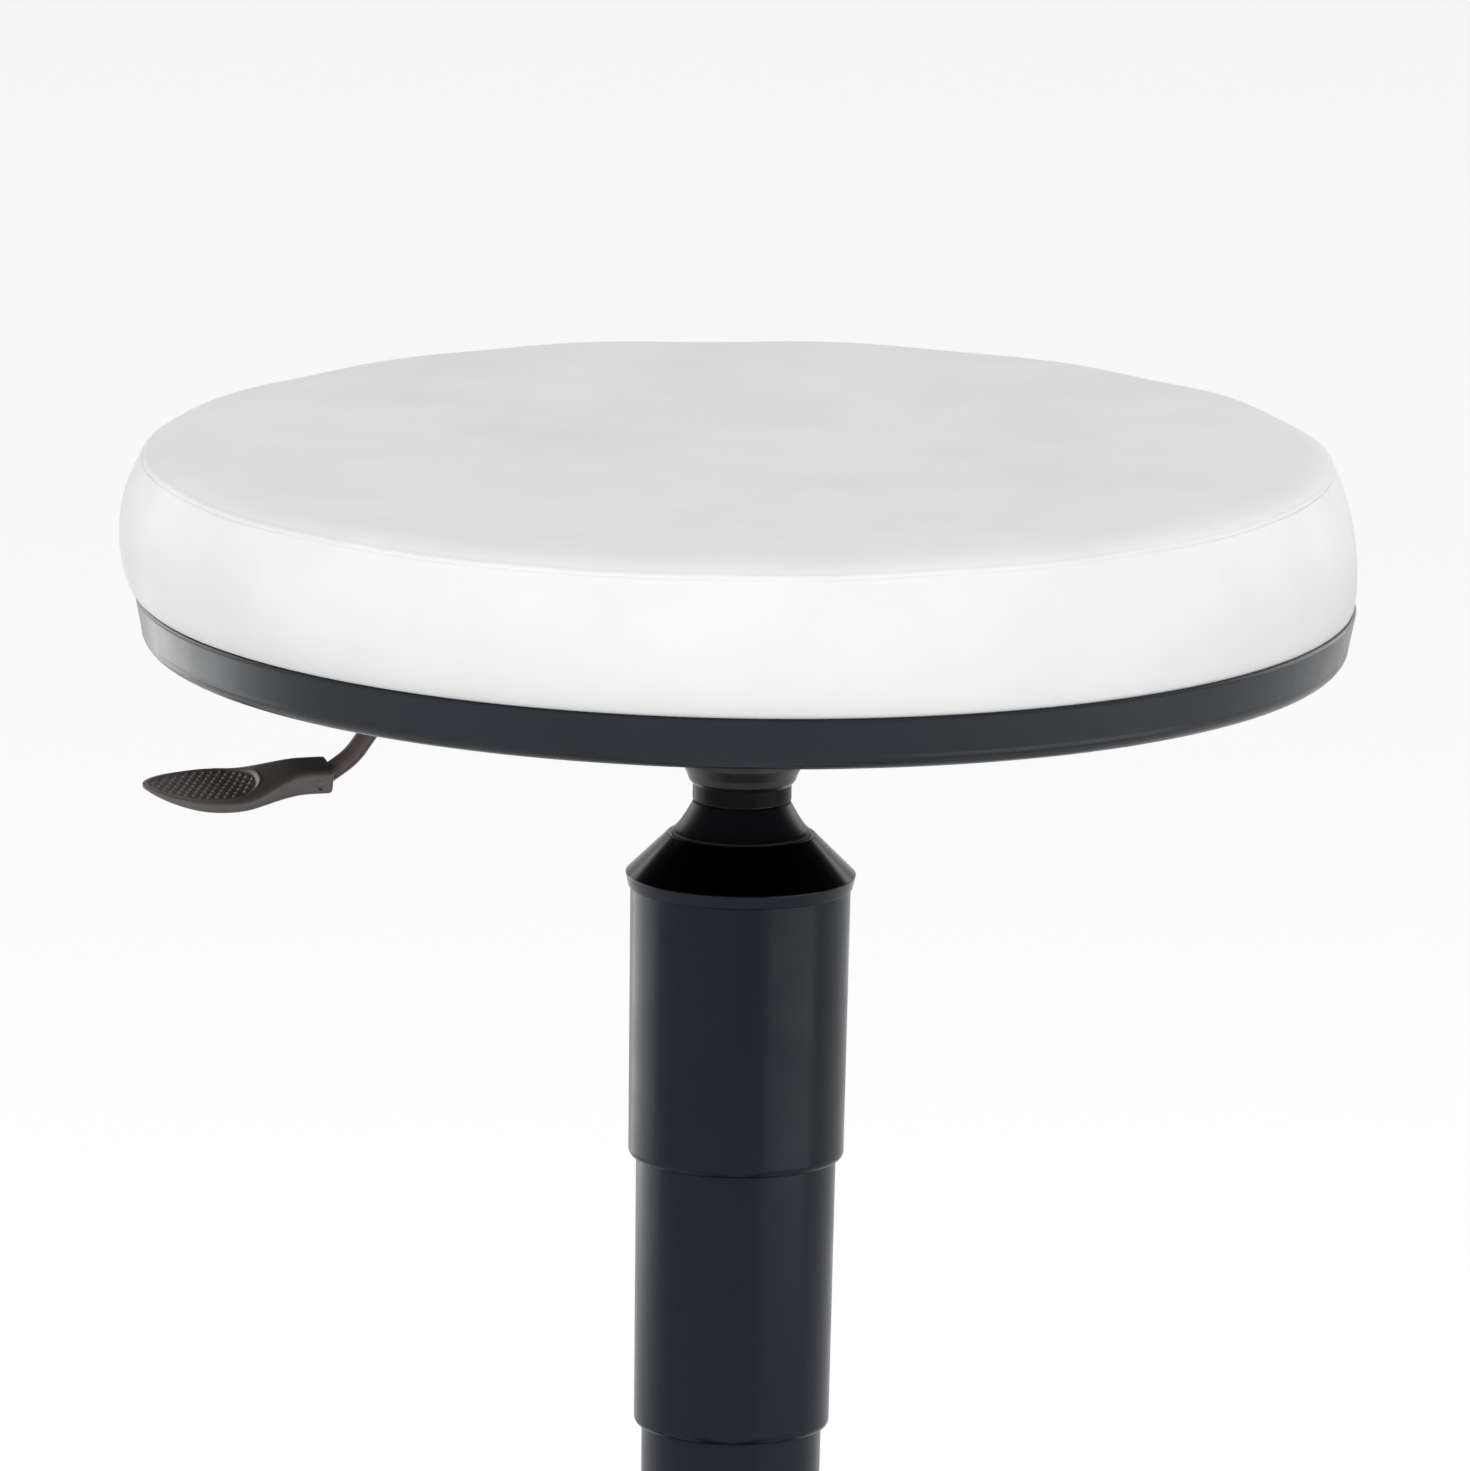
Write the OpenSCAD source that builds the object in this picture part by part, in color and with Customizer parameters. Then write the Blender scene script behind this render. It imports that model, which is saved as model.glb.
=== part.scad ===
// Laboratory stool: a round cushion on a plastic pan, a gas lift inside a
// three-stage telescopic cover, and a five-arm base on twin-wheel castors.
// Millimetres, +Z up. The origin is on the floor, on the column's axis.
// The seat is shown fully raised.

/* [Cushion] */
// Diameter of the cushion at its widest line
cushion_d = 381; // [351:5:411]
// Height of the seam above the rim of the pan
seam_h = 41.5; // [34:0.5:48]
// Height of the top panel's rolled edge above the seam
roll_h = 7; // [5:0.5:10]
// How far the top panel dips from its rolled edge to its middle
top_dip = 4.5; // [0:0.5:6]
// How far the seam lies inside the widest line
seam_in = 7; // [5:0.5:11]
// How far the bottom edge lies inside the widest line
edge_in = 3.5; // [2:0.5:5]
// Thickness of the upholstery
cover_t = 1.2; // [0.8:0.1:1.8]
// Thickness of the plywood board
board_t = 12; // [9:1:15]
// How far the upholstery is folded under the board
fold_under = 28; // [20:1:32]

/* [Seat pan] */
// Height of the pan
pan_h = 16.5; // [14:0.5:20]
// Wall of the pan
pan_t = 2.5; // [2:0.25:3.5]
// Width of the flat ledge that the cushion stands on
pan_ledge = 7; // [6:0.5:10]
// How far the rim stands out past the edge of the cushion
pan_proud = 1.2; // [0.6:0.1:2]
// How far the pan's wall leans in between rim and underside
pan_lean = 2; // [1:0.5:4]
// Radius of the rounded lower edge
pan_round = 5; // [3:0.5:6]

/* [Seat plate and lever] */
// Side of the square steel plate
plate_side = 150; // [135:5:170]
// Thickness of the steel plate and of the lever channel
plate_t = 2.5; // [2:0.25:3]
// Distance between the plate's bolts
bolt_span = 120; // [110:2:130]
// Diameter of the plate's bolts
bolt_d = 8; // [6:1:8]
// Outside width of the lever channel
channel_w = 44; // [42:1:52]
// Depth of the lever channel
channel_h = 22; // [21:0.5:24]
// Length of the lever channel from the column's axis outwards
channel_out = 52; // [45:1:60]
// Outside diameter of the taper hub
hub_d = 38; // [36:0.5:39]
// Distance from the pan's underside to the lower end of the taper hub
hub_drop = 48; // [44:0.5:54]
// Diameter of the lever rod
rod_d = 6; // [5:0.5:7]
// Diameter of the lever's pivot pin
pivot_d = 5; // [4:0.5:5]
// Distance of the lever's pivot from the column's axis
pivot_x = 32; // [30:1:36]
// Turn of the lever towards the front of the stool
lever_turn = 15; // [0:1:40]
// Distance of the bend in the lever rod from the column's axis
bend_x = 115; // [105:1:118]
// Length of the paddle
paddle_l = 59.5; // [55:0.5:80]
// Width of the paddle across the grip
paddle_w = 28; // [24:1:38]
// Roll of the paddle towards the front
paddle_roll = 11; // [0:1:14]

/* [Gas lift] */
// Outside diameter of the stand tube
stand_d = 50; // [48:1:54]
// Wall of the stand tube
stand_t = 2; // [1.5:0.25:2.5]
// Outside diameter of the lift cylinder
lift_d = 28; // [26:0.5:29]
// Travel of the seat
stroke = 130; // [100:5:135]
// Diameter of the piston rod
piston_rod_d = 10; // [8:1:12]
// Diameter of the release pin
pin_d = 8; // [6:0.5:9]
// Play between the cylinder and its guide bush, on the radius
guide_play = 0.05; // [0.02:0.01:0.08]

/* [Telescopic cover] */
// Visible length of each stage with the seat fully up
stage_h = 85.5; // [84:0.5:100]
// Wall of the cover tubes
stage_t = 1.5; // [1.2:0.1:1.8]
// Taper of each tube, on the radius
stage_taper = 0.7; // [0.2:0.05:1]
// Play between two tubes, on the radius
stage_play = 0.3; // [0.2:0.05:0.5]
// How far the lip under a tube turns in, on the radius
lip_in = 0.6; // [0.5:0.05:0.9]
// Height of the cap's cone
cone_h = 12.5; // [11:0.5:18]
// Height of the bell collar above the cone
collar_h = 10; // [8:0.5:14]

/* [Base] */
// Height of the top of the base's hub above the floor
hub_top = 135; // [128:1:140]
// Distance from the column's axis to each castor's stem
arm_reach = 280; // [250:5:310]
// Width of an arm where it leaves the hub
arm_root_w = 50; // [44:1:56]
// Width of an arm at its tip
arm_tip_w = 35; // [32:1:40]
// Wall of the base's moulding
base_t = 3; // [2.5:0.25:4]

/* [Castors] */
// Diameter of a wheel
wheel_d = 50; // [46:1:50]
// Width of a wheel
wheel_w = 15.5; // [13:0.5:17]
// Diameter of the castor's stem
stem_d = 11; // [10:0.5:12]
// Distance from the swivel axis to the wheels' axle
trail = 18; // [16:0.5:20]
// Direction in which the castors trail, from +X
castor_turn = 205; // [0:5:355]

/* [Hidden] */

$fn = 96;
eps = 0.01;
// Clearance between two pieces of one body that fit in each other
fit = 0.05;
// Clearance between pieces that move past each other
run = 0.3;

// Heights of the cover's stages, from the base's hub upwards
lip_middle_z = hub_top + stage_h;
lip_top_z = lip_middle_z + stage_h;
cap_z = lip_top_z + stage_h;
cap_lip_h = 4.5;
cone_top_z = cap_z + cap_lip_h + cone_h;
collar_top_z = cone_top_z + collar_h;
neck_gap = 1;
pan_z = collar_top_z + neck_gap + hub_drop;
rim_z = pan_z + pan_h;

// Cushion
cushion_r = cushion_d / 2;
seam_r = cushion_r - seam_in;
edge_r = cushion_r - edge_in;
side_power = 0.6;
roll_run = 7.4;
cloth_gap = 0.15;
board_edge_gap = 6;
board_r = edge_r - board_edge_gap;
board_z = cover_t + cloth_gap;
board_top = board_z + board_t;

// Pan
rim_r = edge_r + pan_proud;
pan_low_r = rim_r - pan_lean;
boss_r = 9;
screw_r = 2;
screw_count = 6;
screw_circle = cushion_r - 50.5;
rib_count = 12;
rib_t = 2;

// Seat plate, lever channel and lever
plate_corner = 15;
bolt_r = bolt_d / 2;
bolt_hole = 0.4;
bolt_head_h = 5.3;
bolt_head_r = bolt_r * 1.75;
washer_t = 1.6;
nut_flange_r = 11;
nut_flange_t = 1.5;
channel_in = 34;
channel_flange = 12;
channel_floor = plate_t + channel_h;
hub_top_gap = 0.6;
lift_top = channel_floor - plate_t - 7;
taper = 0.025;
pin_top = lift_top - 6;
rod_r = rod_d / 2;
rod_in_z = pin_top - run - rod_r;
rod_knee_x = 9;
block_w = 14;
paddle_z = 36.4;
drop_run = 18.5;
first_run = 9.3;
first_drop = 13.2;
socket_x = bend_x + drop_run;
paddle_x = socket_x - 2;
paddle_neck_r = 7;
paddle_screw_x = paddle_x + 4;
rod_in_paddle = 15;
lever_bend_z = 17;
rod_fall = atan((paddle_z - lever_bend_z - first_drop) / (drop_run - first_run));
rod_slope = atan((lever_bend_z - rod_in_z) / (bend_x - rod_knee_x));
rod_pivot_z = rod_in_z + (pivot_x - rod_knee_x) * tan(rod_slope);
pivot_z = rod_pivot_z + rod_r + pivot_d / 2 + 1.5;

// Gas lift
stand_r = stand_d / 2;
lift_r = lift_d / 2;
stand_bottom = 50;
stand_floor_t = 3;
stand_top = cap_z - stroke + 2;
stand_taper_h = 65;
race_t = 1.8;
ball_d = 3.6;
buffer_h = 12;
race_low_z = stand_bottom + stand_floor_t;
ball_z = race_low_z + race_t;
race_up_z = ball_z + ball_d;
buffer_z = race_up_z + race_t;
lift_bottom = buffer_z + buffer_h + 2 + stroke;
cavity_r = lift_r - 3.5;
end_guide_h = 10;
piston_h = 12;
piston_z = lift_bottom + end_guide_h + 3;
piston_rod_r = piston_rod_d / 2;
rod_foot_r = piston_rod_r - 1;
clip_t = 1.5;
pin_r = pin_d / 2;
pin_play = 0.1;
bush_h = stand_top - lift_bottom - 4;
bush_flange = 3;

// Telescopic cover, from the inside outwards
stand_gap = 0.7;
lip_h = 2.2;
lip_round = 2.5;
flange_h = 3;
cap_t = 1.8;
cap_over = 1.5;
spigot_h = 6;
collar_r = lift_r + 1.2;
collar_foot_r = collar_r + 6.4;
cone_top_r = collar_foot_r + 1.8;

// Base
arms = 5;
arm_step = 360 / arms;
arm_turn = 90;
base_bottom = 58;
sleeve_t = 4;
hub_r = stand_r + sleeve_t + 7;
hub_low_r = hub_r + 7;
tip_r = arm_tip_w / 2;
tip_bottom = 64;
tip_top = 84;
root_top = hub_top - 13;
arm_power = 3.2;
arm_start = 20;
socket_h = 18;
socket_t = 1.5;

// Castors
wheel_r = wheel_d / 2;
web_half = 6.5;
wheel_gap = 0.5;
hood_gap = 1.3;
hood_t = 2.3;
hood_lip = 2.8;
axle_r = 4;
stem_r = stem_d / 2;
stem_foot_r = 4;
stem_collar_r = stem_r + 2.5;
stem_collar_h = 1.7;
housing_top = tip_bottom - stem_collar_h - run;
housing_boss_r = 11;
stem_foot_z = 32;
wheel_in = web_half + wheel_gap;
wheel_out = wheel_in + wheel_w;

function lerp(a, b, t) = a + (b - a) * t;
function smooth(t) = let (u = min(max(t, 0), 1)) u * u * (3 - 2 * u);
function sign_power(v, p) = sign(v) * pow(abs(v), p);
function arc(cx, cy, r, a0, a1, n = 6) =
    [for (i = [0 : n]) let (a = lerp(a0, a1, i / n)) [cx + r * cos(a), cy + r * sin(a)]];
function reverse(list) = [for (i = [len(list) - 1 : -1 : 0]) list[i]];

// Joins equal rings of points into a closed solid, with flat ends.
module loft(rings) {
    n = len(rings);
    m = len(rings[0]);
    sides = [for (i = [0 : n - 2], j = [0 : m - 1]) let (k = (j + 1) % m)
        each [[i * m + j, (i + 1) * m + j, (i + 1) * m + k], [i * m + j, (i + 1) * m + k, i * m + k]]];
    near = [[for (j = [0 : m - 1]) j]];
    far = [[for (j = [m - 1 : -1 : 0]) (n - 1) * m + j]];
    polyhedron(points = [for (r = rings) each r], faces = concat(sides, near, far), convexity = 6);
}

// Cushion outline. The side band swells between its bottom edge and the seam,
// and the top panel rolls over from the seam and dips a little to its middle.
side_steps = 22;
top_steps = 26;
swell = edge_in + 0.44 * (seam_in - edge_in);
function side_r(t) = lerp(edge_r, seam_r, t) + swell * pow(4 * t * (1 - t), side_power);
function top_z(r) = let (roll = 1 - exp(-max(seam_r - r, 0) / roll_run), dip = 1 - pow(r / seam_r, 2))
    seam_h + roll_h * roll - top_dip * dip;
function side_curve(inset) = let (t_top = 1 - inset / seam_h, t_low = inset / seam_h)
    [for (i = [0 : side_steps]) let (t = lerp(t_low, t_top, (1 - cos(180 * i / side_steps)) / 2))
        [side_r(t) - inset, seam_h * t]];
function top_curve(inset) = [for (i = [0 : top_steps])
    let (r = (seam_r - inset) * cos(90 * i / top_steps)) [r, top_z(r) - inset]];

module top_panel() {
    color("whitesmoke") translate([0, 0, rim_z]) rotate_extrude()
        polygon(concat(top_curve(0), reverse(top_curve(cover_t))));
}

module side_band() {
    fold_r = edge_r - fold_under;
    color("white") translate([0, 0, rim_z]) rotate_extrude()
        polygon(concat([[fold_r, 0]], side_curve(0), reverse(side_curve(cover_t)), [[fold_r, cover_t]]));
}

module foam_pad() {
    inset = cover_t + cloth_gap;
    pocket_r = board_r + cloth_gap;
    color("khaki") difference() {
        translate([0, 0, rim_z]) rotate_extrude()
            polygon(concat([[0, board_top], [pocket_r, board_top], [pocket_r, board_z]],
                side_curve(inset), top_curve(inset)));
        at_bolts() translate([0, 0, pan_h + board_top - eps])
            cylinder(r = nut_flange_r + cloth_gap, h = nut_flange_t + cloth_gap);
    }
}

// Places what follows at the seat plate, with +X along the lever.
module lever_frame() {
    translate([0, 0, pan_z]) rotate([0, 0, 180 + lever_turn]) children();
}

module at_bolts() {
    lever_frame() for (x = [-1, 1], y = [-1, 1])
        translate([x * bolt_span / 2, y * bolt_span / 2, 0]) children();
}

module at_screws() {
    for (i = [0 : screw_count - 1])
        translate([0, 0, pan_z]) rotate([0, 0, lever_turn + (i + 0.5) * 360 / screw_count])
            translate([screw_circle, 0, 0]) children();
}

module seat_board() {
    color("burlywood") difference() {
        translate([0, 0, rim_z + board_z]) cylinder(r = board_r, h = board_t);
        at_bolts() translate([0, 0, pan_h]) cylinder(r = bolt_r + 1 + fit, h = board_top + 1);
        at_screws() translate([0, 0, pan_h]) cylinder(r = screw_r + fit, h = board_z + board_t * 0.7);
    }
}

// The barrel of each nut fills its hole in the board, and its flange lies on top.
module tee_nuts() {
    color("silver") at_bolts() difference() {
        union() {
            translate([0, 0, pan_h + board_z + 1]) cylinder(r = bolt_r + 1, h = board_t - 1);
            translate([0, 0, pan_h + board_top]) cylinder(r = nut_flange_r, h = nut_flange_t);
        }
        translate([0, 0, pan_h]) cylinder(r = bolt_r + fit, h = board_top + nut_flange_t + 1);
    }
}

module pan_ring() {
    low = pan_round;
    inner_low = pan_low_r - pan_t;
    rotate_extrude() polygon(concat(
        [[0, 0]],
        arc(pan_low_r - pan_round, low, pan_round, -90, 0, 7),
        [[rim_r, pan_h - 1.4]],
        arc(rim_r - 1, pan_h - 1, 1, 0, 90, 4),
        [[rim_r - pan_ledge, pan_h], [rim_r - pan_ledge, pan_h - pan_t]],
        [[rim_r - pan_t - 1, pan_h - pan_t]],
        [[inner_low, low + 1]],
        [[inner_low - pan_round + 1, pan_t], [0, pan_t]]));
}

// A shallow dish with ribs, bolt bosses and screw posts inside.
module seat_pan() {
    post_h = pan_h + board_z - 2 * fit;
    color("#24272c") difference() {
        union() {
            translate([0, 0, pan_z]) pan_ring();
            at_bolts() cylinder(r = boss_r, h = post_h);
            at_screws() cylinder(r = boss_r - 2, h = post_h);
            for (i = [0 : rib_count - 1])
                translate([0, 0, pan_z]) rotate([0, 0, (i + 0.5) * 360 / rib_count])
                translate([40, -rib_t / 2, pan_t - eps])
                    cube([pan_low_r - pan_round - 42, rib_t, pan_h - 2 * pan_t - 1]);
        }
        at_bolts() translate([0, 0, -1]) cylinder(r = bolt_r + bolt_hole, h = post_h + 2);
        at_screws() translate([0, 0, -1]) cylinder(r = screw_r + fit, h = post_h + 2);
        at_screws() translate([0, 0, -1]) cylinder(r = screw_r * 2 + 1, h = pan_t + 1);
    }
}

module pan_screws() {
    color("dimgray") at_screws() union() {
        translate([0, 0, pan_t - 1.6]) cylinder(r = screw_r * 2, h = 1.6);
        translate([0, 0, pan_t - eps]) cylinder(r = screw_r, h = pan_h + board_z + board_t * 0.5 - pan_t);
    }
}

module mount_plate() {
    half = plate_side / 2 - plate_corner;
    color("#1d1e20") difference() {
        lever_frame() translate([0, 0, -plate_t]) linear_extrude(plate_t) union() {
            square([plate_side, 2 * half], center = true);
            square([2 * half, plate_side], center = true);
            for (x = [-half, half], y = [-half, half]) translate([x, y]) circle(plate_corner);
        }
        at_bolts() translate([0, 0, -plate_t - 1]) cylinder(r = bolt_r + bolt_hole, h = plate_t + 2);
        lever_frame() for (a = [90, 270]) rotate([0, 0, a])
            translate([plate_side / 2 - 18, 0, -plate_t - 1]) cylinder(r = 7, h = plate_t + 2);
    }
}

module plate_bolts() {
    color("silver") at_bolts() union() {
        translate([0, 0, -plate_t - washer_t]) cylinder(r = bolt_r * 2, h = washer_t);
        translate([0, 0, -plate_t - washer_t - bolt_head_h])
            cylinder(r = bolt_head_r, h = bolt_head_h + eps, $fn = 6);
        translate([0, 0, -plate_t - washer_t])
            cylinder(r = bolt_r, h = plate_t + washer_t + pan_h + board_top);
    }
}

// Channel folded from sheet: floor, two sides and two flanges, with open ends.
module lever_channel() {
    half = channel_w / 2;
    length = channel_in + channel_out;
    color("#1d1e20") lever_frame() difference() {
        translate([-channel_in, 0, 0]) rotate([90, 0, 90]) linear_extrude(length) polygon([
            [-half - channel_flange, -plate_t], [-half - channel_flange, -2 * plate_t],
            [-half, -2 * plate_t], [-half, -channel_floor], [half, -channel_floor], [half, -2 * plate_t],
            [half + channel_flange, -2 * plate_t], [half + channel_flange, -plate_t],
            [half - plate_t, -plate_t], [half - plate_t, -channel_floor + plate_t],
            [-half + plate_t, -channel_floor + plate_t], [-half + plate_t, -plate_t]]);
        translate([0, 0, -channel_floor - 1]) cylinder(r = hub_d / 2 + fit, h = plate_t + 2);
        translate([pivot_x, 0, -pivot_z]) rotate([90, 0, 0])
            cylinder(r = pivot_d / 2 + fit, h = channel_w + 2, center = true);
    }
}

// Cone socket that the lift cylinder wedges into, welded through the channel's floor.
module taper_hub() {
    height = hub_drop - lift_top - hub_top_gap;
    color("#1d1e20") translate([0, 0, pan_z - hub_drop]) difference() {
        rotate_extrude() polygon([[0, 0], [hub_d / 2 - 3.7, 0], [hub_d / 2 - 3.7, 4.7],
            [hub_d / 2 - 2.5, 6.1], [hub_d / 2 - 1.7, 8.3], [hub_d / 2, 11.5],
            [hub_d / 2, height], [0, height]]);
        translate([0, 0, -eps])
            cylinder(r1 = lift_r + fit, r2 = lift_r + fit - taper * height, h = height + 2 * eps);
    }
}

module pivot_pin() {
    color("silver") lever_frame() translate([pivot_x, 0, -pivot_z]) rotate([90, 0, 0]) union() {
        cylinder(r = pivot_d / 2, h = channel_w + 3, center = true);
        for (s = [0, 1]) mirror([0, 0, s]) translate([0, 0, channel_w / 2 + fit])
            cylinder(r = pivot_d / 2 + 1.5, h = 1.5);
    }
}

// Path of the lever rod in the lever's plane, with a round bend at each corner.
function corner(p, a, b, r, n) = let (
    u = (a - p) / norm(a - p), v = (b - p) / norm(b - p),
    half = acos(u * v) / 2, c = p + (u + v) / norm(u + v) * r / sin(half),
    s = p + u * r / tan(half) - c, e = p + v * r / tan(half) - c, sweep = acos((s * e) / (r * r)))
    [for (i = [0 : n]) c + (s * sin(sweep * (1 - i / n)) + e * sin(sweep * i / n)) / sin(sweep)];
rod_corners = [[-7, -rod_in_z], [rod_knee_x, -rod_in_z], [bend_x, -lever_bend_z],
    [bend_x + first_run, -lever_bend_z - first_drop], [socket_x, -paddle_z],
    [paddle_x + rod_in_paddle, -paddle_z]];
rod_bends = [10, 14, 20, 9];
rod_turns = len(rod_bends);
function rod_turn(i) = corner(rod_corners[i], rod_corners[i - 1], rod_corners[i + 1], rod_bends[i - 1], 6);
rod_path = concat([rod_corners[0]], [for (i = [1 : rod_turns]) each rod_turn(i)],
    [rod_corners[rod_turns + 1]]);

module lever_rod() {
    sides = 16;
    count = len(rod_path);
    color("#4a4344") lever_frame() loft([for (i = [0 : count - 1])
        let (d = rod_path[min(i + 1, count - 1)] - rod_path[max(i - 1, 0)], t = d / norm(d))
        [for (j = [0 : sides - 1]) let (a = -360 * j / sides, out = rod_r * cos(a))
            [rod_path[i][0] - t[1] * out, rod_r * sin(a), rod_path[i][1] + t[0] * out]]]);
}

// Steel block welded under the rod, which turns on the pivot pin.
module pivot_block() {
    low = pivot_z + pivot_d / 2 + 3;
    inner = channel_w - 2 * plate_t - 2 * run;
    color("#4a4344") lever_frame() difference() {
        union() {
            translate([pivot_x - block_w / 2, -block_w / 2, -low])
                cube([block_w, block_w, low - plate_t - 2.2]);
            translate([pivot_x, 0, -pivot_z]) rotate([90, 0, 0])
                cylinder(r = pivot_d / 2 + 2.5, h = inner, center = true);
        }
        translate([pivot_x, 0, -pivot_z]) rotate([90, 0, 0])
            cylinder(r = pivot_d / 2 + fit, h = channel_w, center = true);
        translate([pivot_x, 0, -rod_pivot_z]) rotate([0, 90 + rod_slope, 0])
            cylinder(r = rod_r + fit, h = 3 * block_w, center = true);
    }
}

// Moulded paddle: a square neck round the rod that widens into a dished, blunt grip.
paddle_steps = 26;
paddle_sides = 28;
paddle_taper = 1.75;
paddle_dip = 1.3;
function paddle_half(s) = let (grip = smooth((s - 0.13) / 0.44), u = max((s - 0.63) / 0.37, 0))
    lerp(paddle_neck_r, paddle_w / 2, grip) * pow(max(1 - pow(u, paddle_taper), 0), 1 / paddle_taper);
function paddle_top(s) = lerp(4.8, 0.5, smooth((s - 0.18) / 0.38)) - paddle_dip * pow(s, 1.5);
function paddle_low(s) = lerp(-3.6, -5.4, smooth((s - 0.1) / 0.4))
    + 5.9 * pow(max((s - 0.55) / 0.45, 0), 2.4) - paddle_dip * pow(s, 1.5);
function paddle_ring(s) = let (w = max(paddle_half(s), 1), top = paddle_top(s), low = paddle_low(s),
    mid = (top + low) / 2, half = (top - low) / 2, square = lerp(0.38, 0.62, smooth((s - 0.1) / 0.35)),
    dish = 0.8 * smooth((s - 0.35) / 0.2) * min(w / 12, 1))
    [for (j = [0 : paddle_sides - 1]) let (a = -360 * j / paddle_sides,
        y = w * sign_power(cos(a), square), z = mid + half * sign_power(sin(a), square))
        [paddle_l * s, y, z - (sin(a) > 0.1 ? dish * (1 - pow(y / w, 2)) : 0)]];

module lever_paddle() {
    color("#4f4849") difference() {
        lever_frame() translate([paddle_x, 0, -paddle_z]) rotate([-paddle_roll, 0, 0])
            loft([for (i = [0 : paddle_steps]) paddle_ring(sin(90 * i / paddle_steps))]);
        lever_frame() translate([socket_x, 0, -paddle_z]) rotate([0, 90, 0])
            translate([0, 0, -1]) cylinder(r = rod_r + fit, h = paddle_x + rod_in_paddle + 1.3 - socket_x);
        lever_frame() translate([socket_x, 0, -paddle_z]) rotate([0, rod_fall - 90, 0])
            translate([-0.5, 0, 0]) cylinder(r = rod_r + 1.2, h = drop_run);
        lever_frame() translate([paddle_screw_x, 0, -paddle_z]) rotate([-90, 0, 0])
            translate([0, 0, rod_r]) cylinder(r = 1.3, h = paddle_neck_r);
    }
}

module paddle_screw() {
    color("dimgray") lever_frame() translate([paddle_screw_x, 0, -paddle_z]) rotate([-90, 0, 0])
        translate([0, 0, rod_r + fit]) cylinder(r = 1.3 - fit, h = paddle_neck_r - rod_r - 0.6);
}

// Pin in the top of the cylinder that opens its valve when the lever presses it.
module release_pin() {
    color("silver") translate([0, 0, pan_z - lift_top]) rotate_extrude()
        polygon([[0, -5], [pin_r, -5], [pin_r, lift_top - pin_top - 0.8], [pin_r - 0.8, lift_top - pin_top],
            [0, lift_top - pin_top]]);
}

module lift_cylinder() {
    top = pan_z - lift_top;
    straight = pan_z - hub_drop - lift_bottom;
    color("#17181a") difference() {
        union() {
            translate([0, 0, lift_bottom]) cylinder(r = lift_r, h = straight);
            translate([0, 0, lift_bottom + straight])
                cylinder(r1 = lift_r, r2 = lift_r - taper * (top - lift_bottom - straight),
                    h = top - lift_bottom - straight);
        }
        translate([0, 0, lift_bottom - 1]) cylinder(r = cavity_r, h = top - lift_bottom - 24);
        translate([0, 0, top - 10]) cylinder(r = pin_r + pin_play, h = 11);
    }
}

// Plug in the cylinder's lower end that guides and seals the piston rod.
module cylinder_end_guide() {
    color("dimgray") translate([0, 0, lift_bottom]) difference() {
        cylinder(r = cavity_r - fit, h = end_guide_h);
        translate([0, 0, -1]) cylinder(r = piston_rod_r + guide_play, h = end_guide_h + 2);
    }
}

// Inside radius of a cover tube at its lower end; tube 0 is the innermost.
tube_step = stage_t + stage_taper + stage_play + lip_in;
function tube_r(i) = stand_r + stand_gap + i * tube_step;
function tube_top_r(i) = tube_r(i) + stage_t + stage_taper;

// A tapered tube. A lip turns in at its foot and a flange stands out at its head,
// so that each tube hangs from the next.
module cover_tube(i, low, high, lip, flange) {
    r = tube_r(i);
    foot_r = r + stage_t;
    head_r = tube_top_r(i);
    lip_r = r - lip_in;
    flange_r = tube_r(i + 1) - 0.2;
    rotate_extrude() polygon(concat(
        lip ? concat([[lip_r, low + 0.1]], arc(foot_r - lip_round, low + lip_round, lip_round, -80, 0, 6))
            : [[r, low], [foot_r, low]],
        flange ? [[head_r, high - flange_h - 0.5], [flange_r, high - flange_h], [flange_r, high]]
            : [[head_r, high]],
        [[head_r - stage_t, high]],
        lip ? [[r, low + lip_h + 0.6], [lip_r, low + lip_h]] : []));
}

tube_over = lip_h + 0.6 + flange_h + 0.5 + run;

module cover_tube_bottom() {
    color("#2b2e33") cover_tube(0, hub_top, lip_middle_z + tube_over, false, true);
}

module cover_tube_middle() {
    color("#2b2e33") cover_tube(1, lip_middle_z, lip_top_z + tube_over, true, true);
}

module cover_tube_top() {
    color("#2b2e33") cover_tube(2, lip_top_z, cap_z, true, false);
}

// Cone that closes the top tube: a spigot inside the tube and a lip over its edge.
module cover_cap() {
    head_r = tube_top_r(2);
    lip_r = head_r + cap_over;
    spigot_r = head_r - stage_t - fit - stage_taper * spigot_h / stage_h;
    bore_r = collar_r + 1.3;
    color("#0c0c0d") translate([0, 0, cap_z]) rotate_extrude() polygon(concat(
        [[spigot_r - cap_t, -spigot_h], [spigot_r, -spigot_h], [spigot_r, 0], [head_r + 0.2, 0]],
        [[head_r + 0.7, 0.5], [lip_r, cap_lip_h - 0.5], [lip_r, cap_lip_h]],
        arc(cone_top_r - 0.8, cap_lip_h + cone_h - 0.8, 0.8, 45, 90, 3),
        [[bore_r, cap_lip_h + cone_h], [bore_r, cap_lip_h + cone_h - cap_t]],
        [[cone_top_r - cap_t * 1.2, cap_lip_h + cone_h - cap_t], [spigot_r - cap_t, cap_lip_h - cap_t]]));
}

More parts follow.
